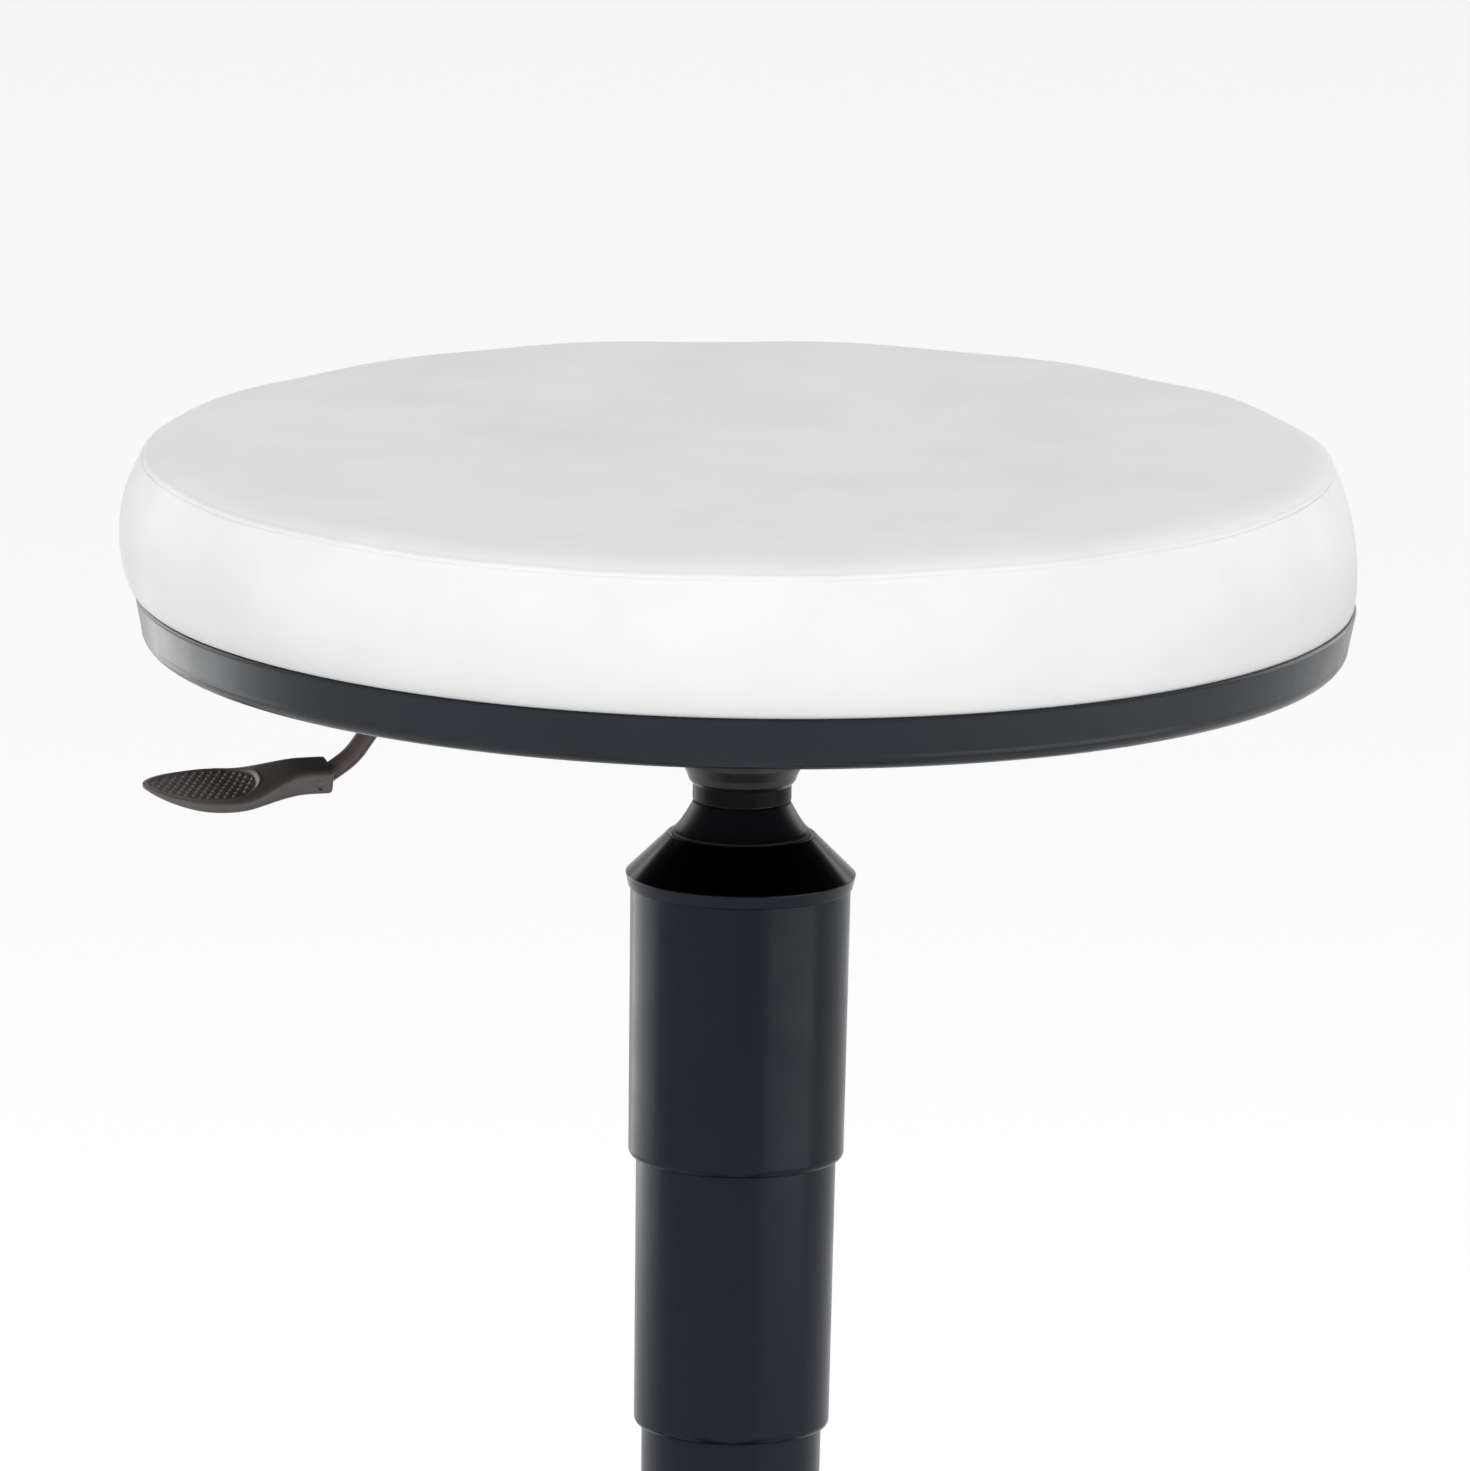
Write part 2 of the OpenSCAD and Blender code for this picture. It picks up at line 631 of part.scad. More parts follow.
// Bell-shaped collar that grips the cylinder and holds up the cover.
module cap_collar() {
    foot = cap_lip_h + cone_h;
    flare = [for (i = [0 : 10]) let (u = i / 10)
        [lerp(collar_foot_r, collar_r, pow(u, 0.75)), foot + 0.8 + (collar_h - 0.8) * u]];
    color("#101011") translate([0, 0, cap_z]) rotate_extrude() polygon(concat(
        [[lift_r + fit, foot - cap_t - 3], [collar_r + 1.2, foot - cap_t - 3], [collar_r + 1.2, foot + fit]],
        [[collar_foot_r, foot + fit]], flare, [[lift_r + fit, foot + collar_h]]));
}

module piston_rod() {
    color("lightgray") union() {
        translate([0, 0, stand_bottom - clip_t - 2])
            cylinder(r = rod_foot_r, h = buffer_z - stand_bottom + clip_t + 2);
        translate([0, 0, buffer_z]) cylinder(r = piston_rod_r, h = piston_z - buffer_z);
    }
}

module piston() {
    color("dimgray") translate([0, 0, piston_z]) cylinder(r = cavity_r - guide_play, h = piston_h);
}

// Washer round the foot of the piston rod.
module race(z) {
    translate([0, 0, z]) difference() {
        cylinder(r = rod_foot_r + 7.5, h = race_t);
        translate([0, 0, -1]) cylinder(r = rod_foot_r + 2 * fit, h = race_t + 2);
    }
}

module upper_race() {
    color("silver") race(race_up_z);
}

module lower_race() {
    color("silver") race(race_low_z);
}

module bearing_balls() {
    balls = 10;
    color("gainsboro") for (i = [0 : balls - 1]) rotate([0, 0, i * 360 / balls])
        translate([rod_foot_r + 4.8, 0, ball_z + ball_d / 2]) sphere(d = ball_d - 2 * fit);
}

module rod_clip() {
    color("silver") translate([0, 0, stand_bottom - clip_t - fit]) difference() {
        cylinder(r = rod_foot_r + 3, h = clip_t);
        translate([0, 0, -1]) cylinder(r = rod_foot_r + fit, h = clip_t + 2);
    }
}

module rubber_buffer() {
    color("#202020") translate([0, 0, buffer_z]) difference() {
        cylinder(r = piston_rod_r + 6, h = buffer_h);
        translate([0, 0, -1]) cylinder(r = piston_rod_r + fit, h = buffer_h + 2);
    }
}

// Outer column of the gas lift: a straight tube whose foot tapers into the base.
module stand_tube() {
    foot_r = stand_r - taper * stand_taper_h;
    color("#17181a") translate([0, 0, stand_bottom]) difference() {
        union() {
            cylinder(r1 = foot_r, r2 = stand_r, h = stand_taper_h);
            translate([0, 0, stand_taper_h])
                cylinder(r = stand_r, h = stand_top - stand_bottom - stand_taper_h);
        }
        translate([0, 0, stand_floor_t]) cylinder(r1 = foot_r - stand_t, r2 = stand_r - stand_t,
            h = stand_taper_h - stand_floor_t);
        translate([0, 0, stand_taper_h - eps]) cylinder(r = stand_r - stand_t, h = stand_top);
        translate([0, 0, -1]) cylinder(r = rod_foot_r + 0.5, h = stand_floor_t + 2);
    }
}

module guide_bush() {
    color("whitesmoke") translate([0, 0, stand_top - bush_h]) difference() {
        union() {
            cylinder(r = stand_r - stand_t - fit, h = bush_h);
            translate([0, 0, bush_h]) cylinder(r = stand_r - 0.5, h = bush_flange);
        }
        translate([0, 0, -1]) cylinder(r = lift_r + guide_play, h = bush_h + bush_flange + 2);
    }
}

// Five-arm moulding. Each arm is an arch in section, high at the hub, low and narrow
// at the tip, open underneath with ribs across.
arm_steps = 9;
arm_sides = 12;
function arm_u(x) = (x - arm_start) / (arm_reach - arm_start);
function arm_half(x) = lerp(tip_r, arm_root_w / 2, pow(1 - arm_u(x), 1.4));
function arm_top(x) = lerp(tip_top, root_top, pow(1 - arm_u(x), 1.7));
function arm_low(x) = lerp(base_bottom + 2, tip_bottom, arm_u(x)) + 7 * sin(180 * arm_u(x));
function arm_ring(x, wall, low) = let (w = arm_half(x) - wall, top = arm_top(x) - wall)
    [for (j = [0 : arm_sides]) let (a = 180 * j / arm_sides)
        [x, w * sign_power(cos(a), 2 / arm_power), low + (top - low) * pow(sin(a), 2 / arm_power)]];
function arm_tip_outline() = concat([[0, tip_bottom]],
    [for (j = [0 : 8]) let (a = 90 * j / 8)
        [tip_r * pow(cos(a), 2 / arm_power),
            tip_bottom + (tip_top - tip_bottom) * pow(sin(a), 2 / arm_power)]]);

module arm_cells() {
    first = hub_low_r + 2;
    last = arm_reach - tip_r - 2;
    ribs = 4;
    difference() {
        loft([for (i = [0 : 6]) arm_ring(lerp(first, last, i / 6), base_t, base_bottom - 4)]);
        for (i = [1 : ribs]) translate([lerp(first, last, i / (ribs + 1)) - 1.25, -30, base_bottom - 6])
            cube([2.5, 60, root_top - base_bottom]);
        translate([first - 1, -1.25, base_bottom - 6])
            cube([last - first + 2, 2.5, root_top - base_bottom + 2]);
    }
}

module arm() {
    difference() {
        union() {
            difference() {
                loft([for (i = [0 : arm_steps]) let (x = lerp(arm_start, arm_reach, i / arm_steps))
                    arm_ring(x, 0, arm_low(x))]);
                arm_cells();
            }
            translate([arm_reach, 0, 0]) rotate_extrude() polygon(arm_tip_outline());
        }
        translate([arm_reach, 0, tip_bottom - 1])
            cylinder(r = stem_r + socket_t + 2 * fit, h = socket_h + 1.2);
    }
}

module star_base() {
    bore_low = stand_r + sleeve_t + fit;
    color("#1c1d1f") difference() {
        union() {
            for (i = [0 : arms - 1]) rotate([0, 0, arm_turn + i * arm_step]) arm();
            rotate_extrude() polygon(concat([[0, base_bottom], [hub_low_r, base_bottom]],
                [[hub_low_r, root_top - 18]],
                arc(hub_r + 7, hub_top - 6, 7, 240, 180, 5),
                arc(hub_r - 2, hub_top - 2, 2, 0, 90, 3), [[0, hub_top]]));
        }
        translate([0, 0, base_bottom - 1]) cylinder(r = bore_low, h = hub_top - base_bottom + 2);
    }
}

// Steel sleeve in the hub, bored to the stand tube's taper.
module hub_sleeve() {
    top = hub_top - 1;
    taper_top = stand_bottom + stand_taper_h;
    foot_r = stand_r - taper * (taper_top - base_bottom);
    color("silver") difference() {
        translate([0, 0, base_bottom]) cylinder(r = stand_r + sleeve_t, h = top - base_bottom);
        translate([0, 0, base_bottom - eps]) cylinder(r1 = foot_r + fit, r2 = stand_r + fit,
            h = taper_top - base_bottom + eps);
        translate([0, 0, taper_top - eps]) cylinder(r = stand_r + fit, h = top - taper_top + 1);
    }
}

module at_castors() {
    for (i = [0 : arms - 1]) rotate([0, 0, arm_turn + i * arm_step]) translate([arm_reach, 0, 0]) children();
}

module castor_sockets() {
    color("silver") at_castors() translate([0, 0, tip_bottom]) difference() {
        cylinder(r = stem_r + socket_t, h = socket_h);
        translate([0, 0, -1]) cylinder(r = stem_r + fit, h = socket_h + 2);
    }
}

module castor_stems() {
    color("silver") at_castors() union() {
        translate([0, 0, tip_bottom - stem_collar_h]) cylinder(r = stem_r, h = socket_h + stem_collar_h - 1);
        translate([0, 0, tip_bottom - stem_collar_h - fit])
            cylinder(r = stem_collar_r, h = stem_collar_h);
        translate([0, 0, stem_foot_z])
            cylinder(r = stem_foot_r, h = tip_bottom - stem_collar_h - stem_foot_z);
    }
}

// Places what follows at one castor, with the wheels trailing along -X.
module castor_frame(i) {
    a = arm_turn + (i - 1) * arm_step;
    translate([arm_reach * cos(a), arm_reach * sin(a), 0]) rotate([0, 0, castor_turn - 180]) children();
}

// Turns a shape made about Z so that it turns about the wheels' axle.
module on_axle() {
    translate([-trail, 0, wheel_r]) rotate([90, 0, 0]) children();
}

// Housing: a web between the wheels, a hood over them and a boss for the stem.
module castor_housing(i) {
    hood_in = wheel_r + hood_gap;
    hood_out = hood_in + hood_t;
    side = wheel_out + 0.4;
    color("#1c1d1f") castor_frame(i) difference() {
        union() {
            on_axle() rotate([0, 0, 18]) rotate_extrude(angle = 172) polygon([
                [hood_in, -side], [hood_in - hood_lip, -side], [hood_in - hood_lip, -side - 1.4],
                [hood_out - 2.4, -side - 1.4], [hood_out - 0.7, -side - 0.6], [hood_out, -side + 1.2],
                [hood_out, side - 1.2], [hood_out - 0.7, side + 0.6], [hood_out - 2.4, side + 1.4],
                [hood_in - hood_lip, side + 1.4], [hood_in - hood_lip, side], [hood_in, side]]);
            on_axle() linear_extrude(2 * web_half, center = true) union() {
                circle(wheel_r - 5);
                intersection() {
                    circle(hood_in + 0.5);
                    polygon([[0, 0], [40, 13], [40, 40], [-40, 40], [-40, -6]]);
                }
                polygon([[0, 0], [trail + 6, 2], [trail + housing_boss_r - 2, 18],
                    [trail + housing_boss_r - 2, 29], [0, 27]]);
            }
            difference() {
                translate([0, 0, 38]) cylinder(r = housing_boss_r, h = housing_top - 38);
                on_axle() for (s = [0, 1]) mirror([0, 0, s]) translate([0, 0, web_half - eps])
                    cylinder(r = hood_in + 0.4, h = wheel_w + 10);
            }
        }
        translate([0, 0, stem_foot_z - 1]) cylinder(r = stem_foot_r + fit, h = housing_top);
        on_axle() cylinder(r = axle_r + fit, h = 4 * web_half, center = true);
    }
}

module castor_axle(i) {
    color("silver") castor_frame(i) on_axle() cylinder(r = axle_r, h = 2 * (wheel_out - 4), center = true);
}

// Wheel: a rounded tread, a dished outer face and a blind bore on the axle.
module castor_wheel(i, side) {
    low = wheel_in;
    high = wheel_out;
    bore = axle_r + 2 * fit;
    color("#222326") castor_frame(i) on_axle() mirror([0, 0, side]) rotate_extrude() polygon(concat(
        [[bore, low], [axle_r + 4, low], [axle_r + 4, high - 4], [wheel_r - 5, high - 4],
            [wheel_r - 4, low + 1]],
        arc(wheel_r - 1.5, low + 1.5, 1.5, -90, 0, 4),
        arc(wheel_r - 2.5, high - 2.5, 2.5, 0, 90, 5),
        [[wheel_r - 4.5, high], [wheel_r - 6, high - 1.4], [axle_r + 5, high - 1.4]],
        arc(0, high - 11, 11.2, 55, 90, 4),
        [[0, high - 3], [bore, high - 3]]));
}

top_panel();
side_band();
foam_pad();
seat_board();
tee_nuts();
seat_pan();
pan_screws();
mount_plate();
plate_bolts();
lever_channel();
taper_hub();
pivot_pin();
lever_rod();
pivot_block();
lever_paddle();
paddle_screw();
release_pin();
lift_cylinder();
cylinder_end_guide();
cover_cap();
cap_collar();
cover_tube_top();
cover_tube_middle();
cover_tube_bottom();
piston_rod();
piston();
upper_race();
rod_clip();
rubber_buffer();
stand_tube();
guide_bush();
bearing_balls();
lower_race();
star_base();
hub_sleeve();
castor_sockets();
castor_stems();
castor_housing(1);  // castor_1_housing
castor_axle(1);  // castor_1_axle
castor_wheel(1, 0);  // castor_1_wheel_left
castor_wheel(1, 1);  // castor_1_wheel_right
castor_housing(2);  // castor_2_housing
castor_axle(2);  // castor_2_axle
castor_wheel(2, 0);  // castor_2_wheel_left
castor_wheel(2, 1);  // castor_2_wheel_right
castor_housing(3);  // castor_3_housing
castor_axle(3);  // castor_3_axle
castor_wheel(3, 0);  // castor_3_wheel_left
castor_wheel(3, 1);  // castor_3_wheel_right
castor_housing(4);  // castor_4_housing
castor_axle(4);  // castor_4_axle
castor_wheel(4, 0);  // castor_4_wheel_left
castor_wheel(4, 1);  // castor_4_wheel_right
castor_housing(5);  // castor_5_housing
castor_axle(5);  // castor_5_axle
castor_wheel(5, 0);  // castor_5_wheel_left
castor_wheel(5, 1);  // castor_5_wheel_right
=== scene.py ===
# Laboratory stool: a round white cushion on a dark pan, a gas lift in a three-part cover,
# a release lever, and a five-arm base on twin-wheel castors.
import math

import bmesh
import bpy
import numpy as np
from mathutils import Matrix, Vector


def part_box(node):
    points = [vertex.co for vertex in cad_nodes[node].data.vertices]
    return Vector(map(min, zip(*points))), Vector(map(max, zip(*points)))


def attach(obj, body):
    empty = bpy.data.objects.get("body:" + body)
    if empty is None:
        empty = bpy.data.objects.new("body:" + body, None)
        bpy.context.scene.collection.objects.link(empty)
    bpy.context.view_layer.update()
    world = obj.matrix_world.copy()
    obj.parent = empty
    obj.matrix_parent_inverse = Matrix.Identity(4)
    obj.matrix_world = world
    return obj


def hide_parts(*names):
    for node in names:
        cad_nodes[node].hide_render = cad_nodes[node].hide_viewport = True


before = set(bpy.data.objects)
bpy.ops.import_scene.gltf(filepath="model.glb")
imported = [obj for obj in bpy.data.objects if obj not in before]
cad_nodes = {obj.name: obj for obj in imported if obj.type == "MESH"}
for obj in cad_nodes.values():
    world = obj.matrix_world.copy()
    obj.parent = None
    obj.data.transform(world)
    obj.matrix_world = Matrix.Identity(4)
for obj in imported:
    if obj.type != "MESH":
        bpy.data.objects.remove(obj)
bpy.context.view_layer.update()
mm = 0.001


# Camera. A long lens six metres in front of the seat looks a little down on it.
# It is held slightly out of level, as in the photograph.
photo_width_px = 1470
focal_px = 19657
camera_distance = 6.067
camera_pitch = math.radians(12.0)
camera_roll = math.radians(1.0)
target_x = -2.5 * mm
target_below_pan = 28.4 * mm

pan_low, pan_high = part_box("seat_pan")
target = np.array([target_x, 0.0, pan_low[2] - target_below_pan])
forward = np.array([0.0, math.cos(camera_pitch), -math.sin(camera_pitch)])
level_right = np.array([1.0, 0.0, 0.0])
level_up = np.cross(level_right, forward)
right = level_right * math.cos(camera_roll) + level_up * math.sin(camera_roll)
up = level_up * math.cos(camera_roll) - level_right * math.sin(camera_roll)
place = target - forward * camera_distance


def axes_at(x_axis, y_axis, z_axis, origin):
    """The matrix of an object whose own axes point along three vectors and whose origin is at a place:
    these four are its columns."""
    rows = np.column_stack([x_axis, y_axis, z_axis, origin]).tolist()
    return Matrix([*rows, [0.0, 0.0, 0.0, 1.0]])


camera_data = bpy.data.cameras.new("camera")
camera_data.sensor_fit = "HORIZONTAL"
camera_data.sensor_width = 36.0
camera_data.lens = camera_data.sensor_width * focal_px / photo_width_px
camera_data.clip_end = 60.0
camera = bpy.data.objects.new("camera", camera_data)
camera.matrix_world = axes_at(right, up, -forward, place)
bpy.context.scene.collection.objects.link(camera)
bpy.context.scene.camera = camera
bpy.context.scene.view_settings.view_transform = "Standard"


# Studio. A large soft lamp hangs in front of the stool and a weaker one stands on either side,
# in a white room, with a low one for the cushion's foot. Cards near the floor and tall panels behind
# show only as reflections. The floor is pale and keeps the shadow.
white = (1.0, 1.0, 1.0, 1.0)
room_fill = 0.50
room_white = 1.0
floor_half_width = 9.0
floor_colour = (0.64, 0.64, 0.64, 1.0)
floor_glow = 0.55


def soft_lamp(name, azimuth, distance, height, size, watts, reflected=False):
    """A rectangular lamp that faces the seat. Its azimuth is in degrees to the right of the camera,
    and its distance and height are measured from the middle of the seat. It either lights the stool,
    or is a panel that is only seen reflected in it."""
    turn = math.radians(azimuth)
    aim = np.array([0.0, 0.0, pan_high[2]])
    position = aim + np.array([distance * math.sin(turn), -distance * math.cos(turn), height])
    data = bpy.data.lights.new(name, "AREA")
    data.shape = "RECTANGLE"
    data.size, data.size_y = size
    data.energy = watts
    lamp = bpy.data.objects.new(name, data)
    away = (position - aim) / np.linalg.norm(position - aim)
    across = np.cross([0.0, 0.0, 1.0], away)
    across /= np.linalg.norm(across)
    rise = np.cross(away, across)
    lamp.matrix_world = axes_at(across, rise, away, position)
    lamp.visible_glossy = reflected
    lamp.visible_diffuse = not reflected
    lamp.visible_camera = False
    bpy.context.scene.collection.objects.link(lamp)


def eye_rays(tree):
    """One for rays that show a surface to the camera, straight, reflected or through glass, and zero
    for rays that light it: the largest of the three kinds."""
    path = tree.nodes.new("ShaderNodeLightPath")
    seen = path.outputs["Is Camera Ray"]
    for kind in ("Is Glossy Ray", "Is Transmission Ray"):
        larger = tree.nodes.new("ShaderNodeMath")
        larger.operation = "MAXIMUM"
        tree.links.new(seen, larger.inputs[0])
        tree.links.new(path.outputs[kind], larger.inputs[1])
        seen = larger.outputs[0]
    return seen


soft_lamp("front_lamp", azimuth=12, distance=3.2, height=3.2, size=(2.4, 1.6), watts=91.0)
soft_lamp("left_side_lamp", azimuth=-76, distance=3.2, height=0.0, size=(2.2, 0.9), watts=12.0)
soft_lamp("right_side_lamp", azimuth=74, distance=3.2, height=0.0, size=(2.2, 0.9), watts=17.0)
soft_lamp("low_front_lamp", azimuth=-32, distance=2.4, height=-0.34, size=(2.2, 0.2), watts=13.5)
soft_lamp("left_card", azimuth=-124, distance=1.15, height=-0.385, size=(1.2, 0.2), watts=1.25,
          reflected=True)
soft_lamp("right_card", azimuth=58, distance=1.15, height=-0.385, size=(1.2, 0.2), watts=1.5,
          reflected=True)
soft_lamp("left_rim_panel", azimuth=-130, distance=3.3, height=0.6, size=(2.6, 2.2), watts=30.0,
          reflected=True)
soft_lamp("right_rim_panel", azimuth=130, distance=3.3, height=0.6, size=(2.6, 2.2), watts=30.0,
          reflected=True)

world = bpy.data.worlds.new("studio")
world.use_nodes = True
bpy.context.scene.world = world
tree = world.node_tree
tree.nodes.clear()
room_light = tree.nodes.new("ShaderNodeBackground")
room_light.inputs["Color"].default_value = white
room_light.inputs["Strength"].default_value = room_fill
room_backdrop = tree.nodes.new("ShaderNodeBackground")
room_backdrop.inputs["Color"].default_value = white
room_backdrop.inputs["Strength"].default_value = room_white
either = tree.nodes.new("ShaderNodeMixShader")
world_out = tree.nodes.new("ShaderNodeOutputWorld")
tree.links.new(eye_rays(tree), either.inputs["Fac"])
tree.links.new(room_light.outputs[0], either.inputs[1])
tree.links.new(room_backdrop.outputs[0], either.inputs[2])
tree.links.new(either.outputs[0], world_out.inputs["Surface"])

floor_mesh = bpy.data.meshes.new("floor")
w = floor_half_width
floor_mesh.from_pydata([(-w, -w, 0), (w, -w, 0), (w, w, 0), (-w, w, 0)], [], [(0, 1, 2, 3)])
floor = bpy.data.objects.new("floor", floor_mesh)
bpy.context.scene.collection.objects.link(floor)
floor_paint = bpy.data.materials.new("floor")
floor_paint.use_nodes = True
tree = floor_paint.node_tree
tree.nodes.clear()
matt = tree.nodes.new("ShaderNodeBsdfDiffuse")
matt.inputs["Color"].default_value = floor_colour
glow = tree.nodes.new("ShaderNodeEmission")
glow.inputs["Color"].default_value = white
glow_level = tree.nodes.new("ShaderNodeMath")
glow_level.operation = "MULTIPLY"
glow_level.inputs[1].default_value = floor_glow
both = tree.nodes.new("ShaderNodeAddShader")
floor_out = tree.nodes.new("ShaderNodeOutputMaterial")
tree.links.new(eye_rays(tree), glow_level.inputs[0])
tree.links.new(glow_level.outputs[0], glow.inputs["Strength"])
tree.links.new(matt.outputs[0], both.inputs[0])
tree.links.new(glow.outputs[0], both.inputs[1])
tree.links.new(both.outputs[0], floor_out.inputs["Surface"])
floor_mesh.materials.append(floor_paint)


# Cushion cover. White coated cloth in two parts, a round top panel and a side band, sewn edge to edge,
# pulled down over the foam and folded in under the board. Their lines follow the photograph, and
# a cloth simulation, with the foam's pressure inside, adds the small unevenness of the pull.
band_low, band_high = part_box("side_band")
edge_z = band_low[2]
seam_z = band_high[2]
edge_r = pan_high[0] - 1.2 * mm
widest_r = edge_r + 3.6 * mm
widest_z = edge_z + 14.8 * mm
band_round = 54.8 * mm
cloth = 1.2 * mm
fold_rings = np.array([28.0, 14.0, 6.0, 1.5]) * mm
roll_rise = 6.4 * mm
roll_run = 7.4 * mm
hollow = 4.5 * mm
side_pull = -3.2 * mm
side_lean = 0.0042
seam_round = 0.65 * mm
seam_ridge = 0.28 * mm
seam_ridge_away = 1.3 * mm
seam_ridge_width = 0.7 * mm
seam_pucker = 0.14 * mm
gather_away = 2.0 * mm
gather_width = 7.0 * mm
gather_waves = 14
gather_numbers = (24, 96)
gather_strengths = (0.3, 1.0)
pull_along_band = 0.65
pull_at_seam = 0.944
pull_fade_power = 30

columns = 480
far_rings = 34
far_rings_end = 11.0 * mm
near_seam = np.array([0.0, 0.02, 0.08, 0.18, 0.32, 0.5, 0.72, 0.95, 1.2, 1.6, 2.1, 2.7, 3.4, 4.3, 5.5,
                      7.0, 9.0]) * mm

sim_columns = 96
sim_band_rows = 13
sim_panel_rows = 20
sim_middle_gap = 0.35
cloth_steps = 20
cloth_pressure = 4.0
cloth_stiffness = 25.0
seam_hold = 0.35
middle_hold = 0.6
middle_rings = 3
most_unevenness = 0.45 * mm
unevenness_power = 1.5
panel_unevenness_rise = 1.6
kept_waves = 20
row_curve_degree = 7


def band_line(t):
    """The band from its bottom edge, t = 0, to the seam, t = 1. It swells quickly over the rim of the pan,
    as a quarter of an ellipse, and leans in to the seam along an arc."""
    height = edge_z + (seam_z - edge_z) * t
    low = np.clip((height - edge_z) / (widest_z - edge_z), 0, 1)
    over = np.maximum(height - widest_z, 0)
    radius = edge_r + (widest_r - edge_r) * np.sqrt(1 - (1 - low) ** 2)
    return radius - band_round + np.sqrt(band_round ** 2 - over ** 2), height


seam_r = band_line(1.0)[0]


def panel_line(u):
    """The top panel from its middle, u = 0, to the seam, u = 1. It rises from the seam and levels off,
    by an exponential of the distance from the seam, and sinks to the middle by a parabola."""
    radius = seam_r * u
    rise = roll_rise * (1 - np.exp((radius - seam_r) / roll_run))
    return radius, seam_z + rise - hollow * (1 - u * u)


def surface(name, grid, loop=False):
    """A closed mesh from a grid of points: each row is a ring, and with loop the last row joins the first.
    Rings that shrink to one point are closed by merging it."""
    rows, cols = grid.shape[:2]
    index = np.arange(rows * cols).reshape(rows, cols)
    near = index if loop else index[:-1]
    far = np.roll(index, -1, 0) if loop else index[1:]
    faces = np.stack([near, np.roll(near, -1, 1), np.roll(far, -1, 1), far], -1).reshape(-1, 4)
    mesh = bpy.data.meshes.new(name)
    mesh.from_pydata(grid.reshape(-1, 3).tolist(), [], faces.tolist())
    shape = bmesh.new()
    shape.from_mesh(mesh)
    bmesh.ops.remove_doubles(shape, verts=shape.verts, dist=1e-6)
    bmesh.ops.recalc_face_normals(shape, faces=shape.faces)
    shape.to_mesh(mesh)
    shape.free()
    return mesh


def piece(name, mesh, material, body, sharp_degrees=40.0):
    """An object for a mesh, smooth but for edges sharper than the angle, riding on a body."""
    mesh.polygons.foreach_set("use_smooth", np.ones(len(mesh.polygons), bool))
    mesh.set_sharp_from_angle(angle=math.radians(sharp_degrees))
    mesh.materials.append(material)
    made = bpy.data.objects.new(name, mesh)
    bpy.context.scene.collection.objects.link(made)
    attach(made, body)
    return made


def ring_points(radius, height, count):
    """Rings about the column, from arrays of radius and height with one row to each ring: x and y are
    the radius times the cosine and the sine of the turn."""
    turn = np.linspace(0, 2 * np.pi, count, endpoint=False)[None, :]
    radius = np.broadcast_to(np.asarray(radius, float).reshape(len(radius), -1), (len(radius), count))
    height = np.broadcast_to(np.asarray(height, float).reshape(len(height), -1), (len(height), count))
    return np.stack([radius * np.cos(turn), radius * np.sin(turn), height], -1)


def spread(values, at, fine_at):
    """Carries the cloth's movement to finer rows and columns: by a polynomial along the rows, and by
    the sum of its slow waves round the ring."""
    waves = np.fft.rfft(values, axis=1)
    fine = np.zeros((values.shape[0], columns // 2 + 1, 3), complex)
    fine[:, :kept_waves] = waves[:, :kept_waves]
    smooth = np.fft.irfft(fine, columns, axis=1) * columns / values.shape[1]
    fitted = np.polynomial.chebyshev.chebfit(2 * at - 1, smooth.reshape(len(at), -1), row_curve_degree)
    return np.polynomial.chebyshev.chebval(2 * fine_at - 1, fitted).T.reshape(len(fine_at), columns, 3)


def outline(line, samples=4000):
    """Share, radius, height, outward normal and distance from the seam along one of the cover's two
    lines. The samples lie closest together at the seam."""
    at = np.linspace(0, 1, samples) ** 0.5 if line is panel_line else 1 - np.linspace(1, 0, samples) ** 2
    radius, height = line(at)
    along_r, along_z = np.gradient(radius), np.gradient(height)
    length = np.hypot(along_r, along_z)
    outward = 1.0 if line is band_line else -1.0
    out_r, out_z = outward * along_z / length, -outward * along_r / length
    walked = np.concatenate([[0], np.cumsum(np.hypot(np.diff(radius), np.diff(height)))])
    return at, radius, height, out_r, out_z, walked[-1] - walked


def seam_waves(seed, count):
    """Gentle gathers round the seam: a sum of waves of uneven length and strength, between -1 and 1."""
    draw = np.random.default_rng(seed)
    turn = np.linspace(0, 2 * np.pi, count, endpoint=False)
    number = draw.integers(*gather_numbers, gather_waves)
    phase = draw.uniform(0, 2 * np.pi, gather_waves)
    strength = draw.uniform(*gather_strengths, gather_waves)
    total = (strength[:, None] * np.sin(number[:, None] * turn + phase[:, None])).sum(0)
    return total / np.abs(total).max()


